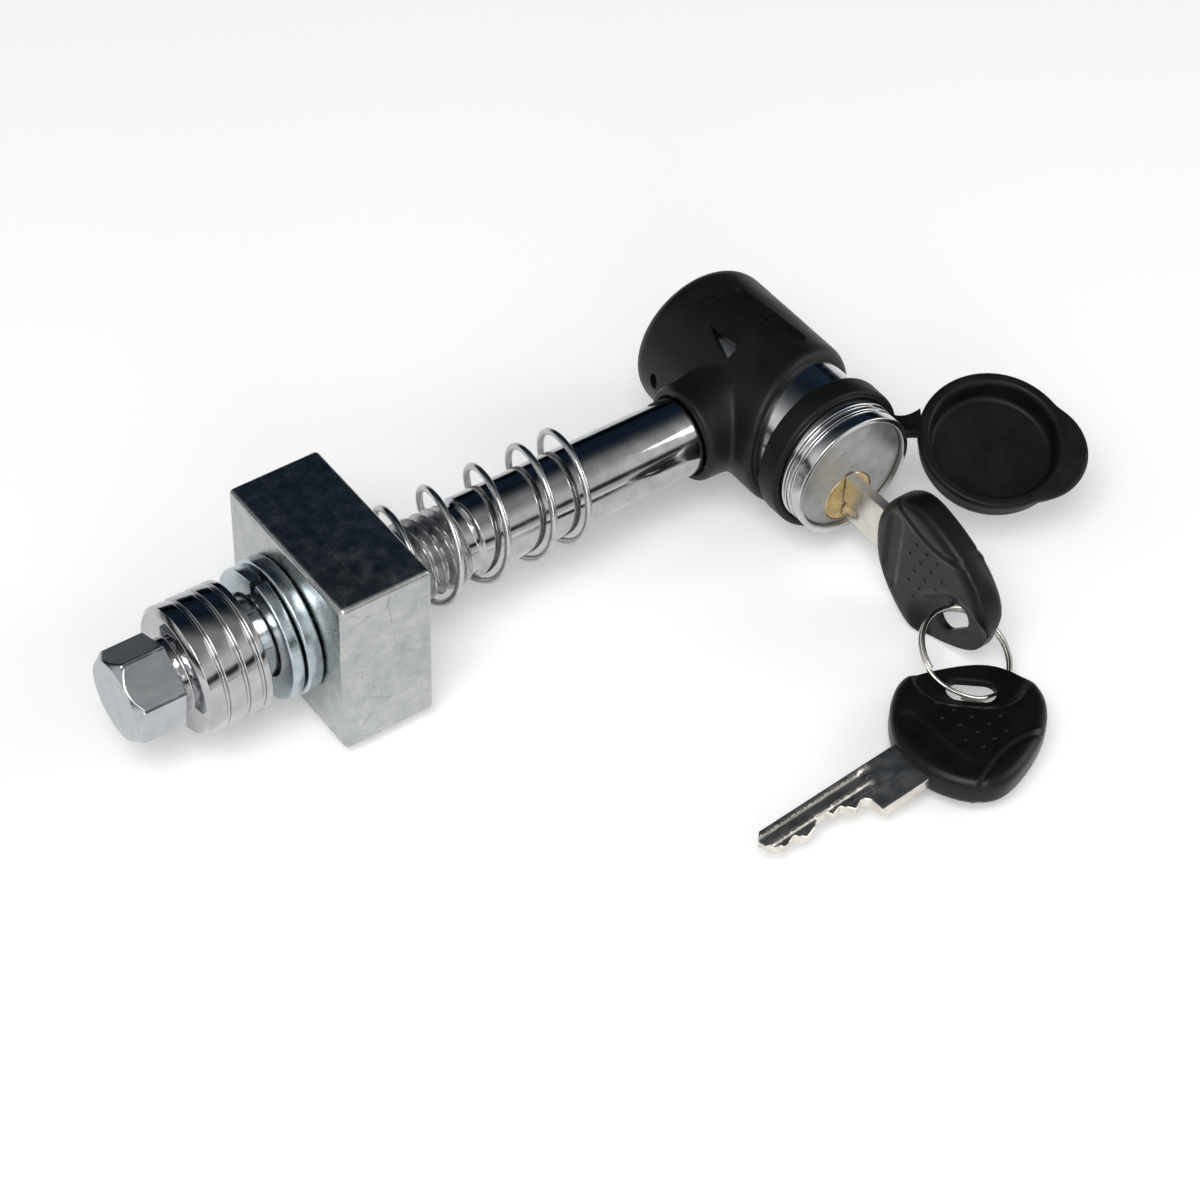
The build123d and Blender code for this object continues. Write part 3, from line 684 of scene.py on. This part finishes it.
# ---------------------------------------------------------------- lock head
def make_barrel():
    outline = [(19.5, 2.0), (19.5, BARREL_R), (-22.7, BARREL_R), (-22.9, 12.75), (-23.4, 12.75)]
    outline += [(-23.6, 13.25), (-24.3, 13.25), (-24.5, 12.7), (-25.0, 12.7), (-25.2, 13.25)]
    outline += [(-27.5, 13.25), (-27.5, 12.1), (-9.2, 12.1), (-9.2, 2.0)]
    barrel = lathe("barrel_body", outline, (LOCK_X, 0, 0), (0, 1, 0), BARREL, 192, 0.22,
                   closed=False)
    cut(barrel, drum((0, 0, 0), (1, 0, 0), LOCK_X - 20, 26.7, 8.0))
    cut(barrel, drum((LOCK_X, 0, PLUG_Z), (0, 1, 0), -10.0, -4.2, 4.5))
    cut(barrel, drum((LATCH[0], 0, LATCH[1]), (0, 1, 0), -10.2, -3.9, 1.8, 48))
    finish_mesh(barrel, "lock")
    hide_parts("lock_barrel")


make_bolt()
make_washers()
make_block()
make_spring()
make_barrel()


# ---------------------------------------------------------------- lock cover
COVER_R = 15.6
COVER_BACK = 23.4
COLLAR = (10.5, 9.85)
MOUTH_Y = -11.2
TURN = [2 * math.pi * k / 160 for k in range(160)]


def make_cover():
    """Thin shell: a capped sleeve over the barrel, blended into a collar round the pin."""
    profile = [(COVER_BACK, 2.0)]
    for k in range(9):
        t = math.pi / 2 * k / 8
        profile.append((COVER_BACK - 3.8 + 3.8 * math.cos(t), COVER_R - 3.8 + 3.8 * math.sin(t)))
    rows = []
    for y, r in profile + [(6.0, COVER_R)]:
        rows.append([(LOCK_X + r * math.cos(t), y, r * math.sin(t)) for t in TURN])
    # slanted mouth with a rolled edge
    for back, r in ((1.7, COVER_R), (1.0, COVER_R - 0.12), (0.4, COVER_R - 0.5),
                    (0.06, COVER_R - 1.1), (0.0, 11.0), (0.0, 2.0)):
        rows.append([(LOCK_X + r * math.cos(t),
                      MOUTH_Y + back + r * (0.26 * math.cos(t) + 0.12 * math.sin(t)),
                      r * math.sin(t)) for t in TURN])
    body = skin("lock_cover_body", rows, COVER)
    flare = [(COLLAR[0], 2.0), (COLLAR[0], COLLAR[1] - 0.6), (COLLAR[0] + 0.6, COLLAR[1])]
    for k in range(10):
        t = k / 9
        flare.append((COLLAR[0] + 3.2 + 9.8 * t, COLLAR[1] + 3.6 * t * t))
    flare += [(LOCK_X, COLLAR[1] + 3.4), (LOCK_X, 2.0)]
    collar = lathe("tool", flare, (0, 0, 0), (1, 0, 0), COVER, 128, 0.0, closed=False)
    join = body.modifiers.new("join", "BOOLEAN")
    join.operation, join.solver, join.object = "UNION", "EXACT", collar
    melt = body.modifiers.new("melt", "REMESH")
    melt.mode, melt.voxel_size, melt.use_smooth_shade = "VOXEL", 0.32 * MM, True
    calm = body.modifiers.new("calm", "SMOOTH")
    calm.factor, calm.iterations = 0.5, 14
    baked(body)
    bpy.data.objects.remove(collar)
    cut(body, drum((LOCK_X, 0, 0), (0, 1, 0), -40, 19.6, BARREL_R + 0.06, 160))
    cut(body, drum((0, 0, 0), (1, 0, 0), 5, LOCK_X, PIN_R + 0.4, 128))
    wedge = [(9.4, -1.2), (2.6, -1.9), (1.7, -0.9), (1.7, 0.9), (2.4, 1.7)]
    for side in (1, -1):
        cut_window(body, side * 121, wedge, 11.0)
        cut_window(body, side * 104, disc_outline(14.4, 0.0, 1.9), 14.8)
        cut_window(body, side * 77, slot_outline(15.2, -3.9, 1.9), 14.55, lean=0.13 * side)
        cut_window(body, side * 79, slot_outline(7.6, 4.6, 0.8), 11.0)
    sixteenths = [k * math.pi / 8 for k in range(16)]
    oval = [(15.6 + 1.0 * math.cos(t), 1.8 * math.sin(t) + 0.3) for t in sixteenths]
    cut_window(body, 180, oval, 11.0)
    body.data.materials.clear()
    body.data.materials.append(COVER)
    finish_mesh(body, "lock", 40)
    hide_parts("lock_cover")


def disc_outline(y, across, radius):
    turn = [2 * math.pi * k / 24 for k in range(24)]
    return [(y + radius * math.cos(t), across + radius * math.sin(t)) for t in turn]


def slot_outline(high, low, half):
    out = []
    for k in range(13):
        t = -math.pi / 2 + math.pi * k / 12
        out.append((high - half + half * math.cos(t), half * math.sin(t)))
    for k in range(13):
        t = math.pi / 2 + math.pi * k / 12
        out.append((low + half + half * math.cos(t), half * math.sin(t)))
    return out


def cut_window(body, angle, outline, depth_from, lean=0.0):
    """Cuts a (y, across) outline into the cover's side, from a radius outwards."""
    a = math.radians(angle)
    out = Vector((math.cos(a), 0, math.sin(a)))
    across = Vector((-math.sin(a), 0, math.cos(a)))
    middle = sum(p[0] for p in outline) / len(outline)
    rows = []
    for radius, grow in ((depth_from, 1.0), (COVER_R + 3, 1.12)):
        rows.append([Vector((LOCK_X, 0, 0)) + out * radius
                     + Vector((0, middle + (y - middle) * grow, 0))
                     + across * (w * grow + lean * (y - middle)) for y, w in outline])
    tool = skin("tool", rows, COVER)
    outward(tool.data)
    cut(body, tool)


def make_latch_spring():
    """Short coil between the latch's flange and the bore's floor."""
    low, high, coil = -11.55, -9.55, 2.25
    path = []
    for k in range(91):
        t = 4 * math.pi * k / 90
        path.append((LATCH[0] + coil * math.cos(t), low + (high - low) * k / 90,
                     LATCH[1] + coil * math.sin(t)))
    spring = tube("latch_coil", path, round_section(0.2, 10), SMALL_STEEL)
    finish_mesh(spring, None)
    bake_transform(spring)
    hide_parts("latch_spring")


def make_seal():
    low, high = span("pin_seal", 0)
    ring = [(low, PIN_R + 0.07), (low, 8.9), (high, 8.9), (high, PIN_R + 0.07)]
    seal = lathe("pin_seal_ring", ring, (0, 0, 0), (1, 0, 0), SEAL, 96, 0.45)
    finish_mesh(seal, "seal")
    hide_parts("pin_seal")


# ---------------------------------------------------------------- dust cap on its strap
def make_strap():
    ring = [(-22.2, BARREL_R + 0.05), (-22.2, 15.1), (-17.2, 15.2), (-17.2, BARREL_R + 0.05)]
    strap = lathe("cap_strap_ring", ring, (LOCK_X, 0, 0), (0, 1, 0), RUBBER, 144, 1.1)
    for vertex in strap.data.vertices:
        vertex.co.y += 0.07 * vertex.co.z
    finish_mesh(strap, "cap_strap")
    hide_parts("cap_strap")
    # flexible neck between the ring and the cap
    root = Vector((LOCK_X + BARREL_R + 0.6, -20.2, 0))
    edge = CAP_C - CAP_SIDE * 14.4 - CAP_NORMAL * 1.1
    run = (edge - root).normalized()
    across = Vector((0, 0, 1)).cross(run).normalized()
    lift = run.cross(across)
    thick = 1.0
    rows = []
    count = 24
    for k in range(count + 1):
        t = k / count
        here = root.lerp(edge, t) + Vector((0, 0, -0.5 * math.sin(math.pi * t)))
        half = 2.7 + 1.1 * (2 * t - 1) ** 2
        section = rounded(oblong(half, thick), 0.8, 4, closed=True)
        rows.append([here + across * a + lift * b for a, b in section])
    neck = skin("cap_neck", rows, RUBBER)
    finish_mesh(neck, None)
    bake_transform(neck)


def make_cap():
    """Shallow cup whose broad lip runs out into a rounded pull tab."""
    other = CAP_NORMAL.cross(CAP_SIDE)
    segments = 180
    # the lip's outline is the greater of its own circle and the tab's, eased where they meet
    reach, tab_out, tab_r = 15.0, 7.5, 11.0
    rows = []
    for k in range(segments):
        t = 2 * math.pi * k / segments
        tab = tab_out * math.cos(t) + math.sqrt(tab_r**2 - (tab_out * math.sin(t)) ** 2)
        lip = 0.5 * (reach + tab + math.sqrt((reach - tab) ** 2 + 0.25)) - 0.05
        path = [(1.0, -6.5), (13.4, -6.5), (14.2, -4.6), (14.3, -2.1), (lip - 0.1, -2.0)]
        path += [(lip, -0.1), (12.9, 0.0), (12.25, -0.8), (12.0, -5.1), (1.0, -5.2)]
        path = rounded(path, 1.2, 5, closed=False)
        out = CAP_SIDE * math.cos(t) + other * math.sin(t)
        rows.append([CAP_C + out * r + CAP_NORMAL * h for r, h in path])
    cap = skin("dust_cap_body", list(zip(*rows)), RUBBER)
    finish_mesh(cap, "dust_cap")
    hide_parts("dust_cap")


# ---------------------------------------------------------------- keys and split ring
BOW_OUTLINE = (
    (0.0, 0.0), (0.6, -5.9), (3.8, -11.6), (8.8, -14.6), (16.0, -13.6), (24.4, -10.0), (30.0, -4.4),
    (31.2, 2.2), (28.6, 8.4), (22.0, 12.8), (13.4, 15.4), (6.6, 12.2), (1.6, 6.2),
)
BLADE_CUTS = (
    (-11.4, -1.8), (-12.2, -0.9), (-13.0, -0.8), (-15.0, -1.8), (-16.6, 0.7), (-18.9, 0.1),
    (-19.4, 1.3), (-21.6, 1.2), (-23.6, -0.2), (-26.3, -1.1), (-27.6, 0.8), (-30.5, -0.2),
    (-31.1, 0.6), (-32.2, 0.9), (-33.2, 2.3),
)


def spline(points, per=14):
    """Closed Catmull-Rom curve through the points."""
    out = []
    n = len(points)
    for i in range(n):
        p0, p1, p2, p3 = (Vector(points[(i + k) % n]) for k in (-1, 0, 1, 2))
        for k in range(per):
            t = k / per
            out.append(0.5 * (2 * p1 + (p2 - p0) * t + (2 * p0 - 5 * p1 + 4 * p2 - p3) * t * t
                              + (3 * p1 - p0 - 3 * p2 + p3) * t**3))
    return out


def resample(loop, step):
    out = []
    for a, b in zip(loop, loop[1:] + loop[:1]):
        pieces = max(1, round((b - a).length / step))
        out += [a.lerp(b, k / pieces) for k in range(pieces)]
    return out


def inside(point, loop):
    hit = False
    for a, b in zip(loop, loop[1:] + loop[:1]):
        if (a.y > point.y) != (b.y > point.y):
            if point.x < (b.x - a.x) * (point.y - a.y) / (b.y - a.y) + a.x:
                hit = not hit
    return hit


def gap_to(point, loop):
    best = 1e9
    for a, b in zip(loop, loop[1:] + loop[:1]):
        run = b - a
        t = min(1.0, max(0.0, (point - a).dot(run) / run.length_squared))
        best = min(best, (point - a - run * t).length)
    return best


def slot_gap(point, centre, length, width, angle):
    """Signed distance to a slot: negative inside."""
    way = Vector((math.cos(angle), math.sin(angle)))
    half = (length - width) / 2
    off = point - Vector(centre)
    t = min(half, max(-half, off.dot(way)))
    return (off - way * t).length - width / 2


def plate(name, loops, extra, height, place, material, step):
    """Flat moulding or stamping: loops[0] is its outline and the rest are holes. height(point,
    gap) gives the face's height over the mid plane, gap being the distance to the nearest edge."""
    loops = [resample(loop, step) for loop in loops]
    coarse = [resample(loop, step * 3) for loop in loops]
    points = [p for loop in loops for p in loop]
    edges = []
    first = 0
    for loop in loops:
        count = len(loop)
        edges += [(first + k, first + (k + 1) % count) for k in range(count)]
        first += count

    def free(p, clear):
        if not inside(p, coarse[0]) or any(inside(p, hole) for hole in coarse[1:]):
            return False
        return min(gap_to(p, loop) for loop in coarse) > clear

    for index, loop in enumerate(loops):
        count = len(loop)
        for depth in (0.10, 0.28, 0.55, 0.9, 1.35):
            for k in range(0, count, 2 if depth > 0.5 else 1):
                run = loop[(k + 1) % count] - loop[k - 1]
                normal = Vector((-run.y, run.x)).normalized()
                for sign in (1, -1):
                    p = loop[k] + normal * depth * sign
                    if free(p, depth * 0.93):
                        points.append(p)
    low = Vector((min(p.x for p in loops[0]), min(p.y for p in loops[0])))
    high = Vector((max(p.x for p in loops[0]), max(p.y for p in loops[0])))
    grid = step * 1.5
    for i in range(int((high.x - low.x) / grid) + 1):
        for j in range(int((high.y - low.y) / grid) + 1):
            p = low + Vector(((i + 0.5 * (j % 2)) * grid, j * grid))
            if free(p, 1.6):
                points.append(p)
    points += [p for p in extra if free(p, 0.2)]
    verts, _, faces, _, _, _ = delaunay_2d_cdt(points, edges, [], 0, 1e-5)
    kept = []
    for face in faces:
        middle = sum((verts[k] for k in face), Vector((0, 0))) / len(face)
        if inside(middle, loops[0]) and not any(inside(middle, hole) for hole in loops[1:]):
            kept.append(tuple(face))
    tops, bottoms = [], []
    for p in verts:
        top, bottom = height(p, min(gap_to(p, loop) for loop in coarse))
        tops.append(place(p, top))
        bottoms.append(place(p, -bottom))
    count = len(verts)
    mesh_faces = kept + [tuple(count + k for k in reversed(face)) for face in kept]
    used = {}
    for face in kept:
        for a, b in zip(face, face[1:] + face[:1]):
            used[(a, b)] = used.get((a, b), 0) + 1
    for (a, b) in used:
        if (b, a) not in used:
            mesh_faces.append((b, a, count + a, count + b))
    made = piece(name, tops + bottoms, mesh_faces, material)
    work = bmesh.new()
    work.from_mesh(made.data)
    bmesh.ops.delete(work, geom=[v for v in work.verts if not v.link_faces], context="VERTS")
    work.to_mesh(made.data)
    work.free()
    return made


def key_place():
    """Puts a point (u, v) of the key in the lock, at height w, into the part's frame."""
    return lambda p, w: Vector((LOCK_X + w, KEY_ROOT_Y - p.x, KEY_Z - p.y))


def spare_place():
    """The same for the spare key, which lies flat and turned a little."""
    along = Vector((math.cos(SPARE_TURN), math.sin(SPARE_TURN), 0))
    across = Vector((-along.y, along.x, 0))
    return lambda p, w: Vector(SPARE_C) + along * p.x + across * p.y + Vector((0, 0, w))


# raised pips on a skewed lattice: the line's number, and its first and last pip
PIP_START = Vector((12.6, 6.5))
PIP_ALONG, PIP_ACROSS = Vector((1.3, -3.18)), Vector((-3.05, -0.08))
PIPS = [PIP_START + PIP_ALONG * i + PIP_ACROSS * line
        for line, first, last in ((-2, 2, 2), (-1, 1, 3), (0, 0, 4), (1, 1, 4), (2, 3, 4))
        for i in range(first, last + 1)]


def ridge_v(u):
    """Where the moulded line across the bow runs."""
    swell = 2.3 * math.sin(math.pi * smooth_step(u, -2.0, 34.0))
    return -10.9 + swell - 0.012 * (u - 18) ** 2 * 0.7


def bow_height(p, gap):
    half, edge = 3.18, 2.2
    rise = half if gap >= edge else half - (edge - math.sqrt(edge**2 - (edge - gap) ** 2)) * 0.9
    centre = (HOLE_UV[0] + 2.0, HOLE_UV[1] + 2.6)
    dish = slot_gap(p, centre, 18.0, 14.0, HOLE_TURN)
    low = 0.85
    if dish < 3.2:
        rise = min(rise, low + (rise - low) * smooth_step(dish, -0.4, 3.2))
    hole = slot_gap(p, HOLE_UV, 9.4, 4.9, HOLE_TURN)
    if hole < 0.7:
        rise = min(rise, 0.55 + 0.4 * smooth_step(hole, 0.0, 0.7))
    slot = slot_gap(p, (5.7, -0.4), 18.6, 4.0, math.radians(90))
    rise -= 0.42 * (1 - smooth_step(slot, -0.45, 0.15))
    if p.x > 2:
        line = abs(p.y - ridge_v(p.x))
        furrow = abs(p.y - ridge_v(p.x) + 1.1)
        rise += 0.16 * (1 - smooth_step(line, 0.12, 0.5))
        rise -= 0.16 * (1 - smooth_step(furrow, 0.1, 0.5))
    for pip in PIPS:
        off = (p - pip).length
        if off < 0.5:
            rise += 0.22 * math.sqrt(max(0.0, 1 - (off / 0.5) ** 2))
    return rise, rise


def blade_height(p, gap):
    half = 1.09 - 0.10 * (1 - smooth_step(gap, 0.0, 0.14))

    def channel(v_low, v_high, depth, end):
        width = smooth_step(p.y, v_low - 0.25, v_low + 0.1)
        width *= 1 - smooth_step(p.y, v_high - 0.1, v_high + 0.25)
        return depth * width * (1 - smooth_step(p.x, end - 2.2, end))

    rise = smooth_step(p.x, -10.0, -5.0)
    top = half - channel(2.1 + 1.2 * rise, 4.0 + 0.8 * rise, 0.52, -5.6)
    top -= channel(0.1, 1.3, 0.38, -7.4)
    bottom = half - channel(1.9, 3.2, 0.52, -6.5)
    return top, bottom


def pip_points():
    """Extra points for plate(), close together on the pips and along the moulded line."""
    tenths = [k * math.pi / 5 for k in range(10)]
    out = []
    for pip in PIPS:
        out.append(pip)
        for radius in (0.2, 0.36, 0.5, 0.62):
            out += [pip + Vector((math.cos(t), math.sin(t))) * radius for t in tenths]
    beside = (-1.6, -1.3, -1.1, -0.9, -0.55, -0.3, 0.0, 0.3, 0.55)
    for k in range(80):
        u = 2 + 26 * k / 79
        out += [Vector((u, ridge_v(u) + off)) for off in beside]
    return out


def make_key(prefix, place, body):
    outline = spline(BOW_OUTLINE)
    hole = []
    way = Vector((math.cos(HOLE_TURN), math.sin(HOLE_TURN)))
    across = Vector((-math.sin(HOLE_TURN), math.cos(HOLE_TURN)))
    for k in range(40):
        t = 2 * math.pi * k / 40
        end = 2.25 if math.cos(t) > 0 else -2.25
        hole.append(Vector(HOLE_UV) + way * (end + 2.45 * math.cos(t))
                    + across * 2.45 * math.sin(t))
    bow = plate(prefix + "key_bow_moulding", [outline, hole], pip_points(), bow_height, place,
                BOW, 0.42)
    finish_mesh(bow, body, 50)
    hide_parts(prefix + "key_bow")
    points = [(3.4, -4.4), (-1.0, -4.9), (-11.4, -4.9), *BLADE_CUTS]
    points += [(-33.4, 3.8), (-32.0, 5.2), (3.4, 5.2)]
    edge = rounded([(*p, 0) for p in points], 0.18, 3, closed=True)
    edge = [Vector((x, y)) for x, y, _ in edge]
    beside_grooves = (0.0, 0.2, 1.2, 1.45, 2.0, 2.25, 3.9, 4.1)
    lines = [Vector((u * 0.5, v)) for u in range(-66, -8) for v in beside_grooves]
    blade = plate(prefix + "key_blade_plate", [edge], lines, blade_height, place, KEY_PLATE, 0.4)
    finish_mesh(blade, body, 40)
    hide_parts(prefix + "key_blade")


def make_split_ring():
    """Two turns of flattened wire with a sideways step and two cut ends."""
    side = Vector((0.82, 0.57, -0.05))
    side = (side - RING_NORMAL * side.dot(RING_NORMAL)).normalized()
    other = RING_NORMAL.cross(side)
    path = []
    count = 240
    first, last = 0.42, 4 * math.pi - 0.42
    for k in range(count + 1):
        t = first + (last - first) * k / count
        lift = 0.41 * (2 * smooth_step(t, 2 * math.pi - 0.4, 2 * math.pi + 0.4) - 1)
        a = t + RING_STEP
        path.append(RING_C + (side * math.cos(a) + other * math.sin(a)) * RING_R
                    + RING_NORMAL * lift)
    section = rounded(oblong(0.42, 0.38), 0.3, 4, closed=True)
    ring = tube("split_ring_wire", path, section, RING_STEEL, normal=RING_NORMAL)
    finish_mesh(ring, "key_ring", 50)
    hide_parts("split_ring")


make_cover()
make_latch_spring()
make_seal()
make_strap()
make_cap()
make_key("", key_place(), "key")
make_key("spare_", spare_place(), "spare_key")
make_split_ring()


# ---------------------------------------------------------------- camera, light and floor
AZIMUTH, ELEVATION, ROLL = (math.radians(a) for a in (-37.323, 45.545, 2.402))
EYE = Vector((-275.77, -352.20, 416.25)) * MM


def make_camera():
    back = Vector((math.sin(AZIMUTH) * math.cos(ELEVATION),
                   -math.cos(AZIMUTH) * math.cos(ELEVATION), math.sin(ELEVATION)))
    level = Vector((math.cos(AZIMUTH), math.sin(AZIMUTH), 0))
    up = back.cross(level)
    right = math.cos(ROLL) * level + math.sin(ROLL) * up
    rise = -math.sin(ROLL) * level + math.cos(ROLL) * up
    data = bpy.data.cameras.new("camera")
    data.sensor_width = 36
    data.lens = 96
    data.clip_start, data.clip_end = 0.01, 20
    camera = bpy.data.objects.new("camera", data)
    bpy.context.collection.objects.link(camera)
    turn = Matrix((right, rise, back)).transposed().to_4x4()
    camera.matrix_world = Matrix.Translation(EYE) @ turn
    bpy.context.scene.camera = camera


def area_light(name, place, target, size, power, tall=None):
    data = bpy.data.lights.new(name, "AREA")
    data.shape = "RECTANGLE"
    data.size, data.size_y = size, tall or size
    data.energy = power
    light = bpy.data.objects.new(name, data)
    bpy.context.collection.objects.link(light)
    light.location = place
    light.rotation_euler = (Vector(target) - Vector(place)).to_track_quat("-Z", "Y").to_euler()


SKY = 0.85
FLOOR_GLOW = 0.22


def make_stage():
    low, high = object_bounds()
    z = low.z - 0.0002
    floor = bpy.data.meshes.new("floor")
    reach = 4.0  # metres
    corners = [(-reach, -reach, z), (reach, -reach, z), (reach, reach, z), (-reach, reach, z)]
    floor.from_pydata(corners, [], [(0, 1, 2, 3)])
    ground = bpy.data.objects.new("floor", floor)
    bpy.context.collection.objects.link(ground)
    paint = Shade("floor")
    paint.put(Base_Color=(0.90, 0.90, 0.90), Roughness=0.8, Specular_IOR_Level=0.2)
    paint.put(Emission_Color=(1.0, 1.0, 1.0), Emission_Strength=FLOOR_GLOW)
    floor.materials.append(paint.mat)
    world = bpy.data.worlds.new("studio")
    bpy.context.scene.world = world
    world.use_nodes = True
    tree = world.node_tree
    sky = tree.nodes["Background"]
    sky.inputs["Strength"].default_value = SKY
    where = tree.nodes.new("ShaderNodeTexCoord").outputs["Generated"]
    split = tree.nodes.new("ShaderNodeSeparateXYZ")
    tree.links.new(where, split.inputs["Vector"])
    # pale tent overhead with a dark gap near the horizon, and a dark room behind the object
    heights = ((0.0, 0.9), (0.08, 0.85), (0.17, 0.05), (0.27, 0.05), (0.37, 1.0), (0.60, 1.0),
               (0.84, 0.45), (1.0, 0.4))
    tent = colour_ramp(tree, split.outputs["Z"], [(at, (v, v, v, 1)) for at, v in heights])
    behind = tree.nodes.new("ShaderNodeVectorMath")
    behind.operation = "DOT_PRODUCT"
    behind.inputs[1].default_value = (0.42, 0.86, 0.30)
    tree.links.new(where, behind.inputs[0])
    depths = [(0.30, (1.0, 1.0, 1.0, 1)), (0.62, (0.16, 0.18, 0.20, 1)),
              (0.78, (0.020, 0.038, 0.066, 1)), (1.0, (0.012, 0.022, 0.040, 1))]
    room = colour_ramp(tree, behind.outputs["Value"], depths)
    both = tree.nodes.new("ShaderNodeMix")
    both.data_type, both.blend_type = "RGBA", "MULTIPLY"
    both.inputs[0].default_value = 1.0
    tree.links.new(tent, both.inputs[6])
    tree.links.new(room, both.inputs[7])
    tree.links.new(both.outputs[2], sky.inputs["Color"])
    centre = (low + high) / 2
    area_light("key_light", centre + Vector((-0.45, -0.35, 0.85)), centre, 0.5, 6.0)
    area_light("side_light", centre + Vector((0.9, -0.5, 0.45)), centre, 0.35, 2.5, 0.8)
    area_light("front_light", centre + Vector((-0.5, -0.95, 0.40)), centre, 0.4, 2.0, 0.7)


# every node that is shown as packed, with its finish
CAD_LOOK = {
    "core_housing": CORE, "plug": PLUG_BRASS, "cam": SMALL_STEEL, "plug_clip": SMALL_STEEL,
    "core_retaining_pin": SMALL_STEEL, "chamber_cover": PIN_BRASS, "latch_bolt": SMALL_STEEL,
}
for number in range(1, 5):
    CAD_LOOK[f"driver_pin_{number}"] = PIN_BRASS
    CAD_LOOK[f"key_pin_{number}"] = PIN_BRASS
    CAD_LOOK[f"tumbler_spring_{number}"] = SMALL_STEEL


def dress_cad_nodes():
    """Gives every node that is shown as packed its finish."""
    for node, material in CAD_LOOK.items():
        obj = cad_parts[node]
        obj.data.materials.clear()
        obj.data.materials.append(material)


dress_cad_nodes()
make_camera()
make_stage()
bpy.context.scene.view_settings.view_transform = "Standard"
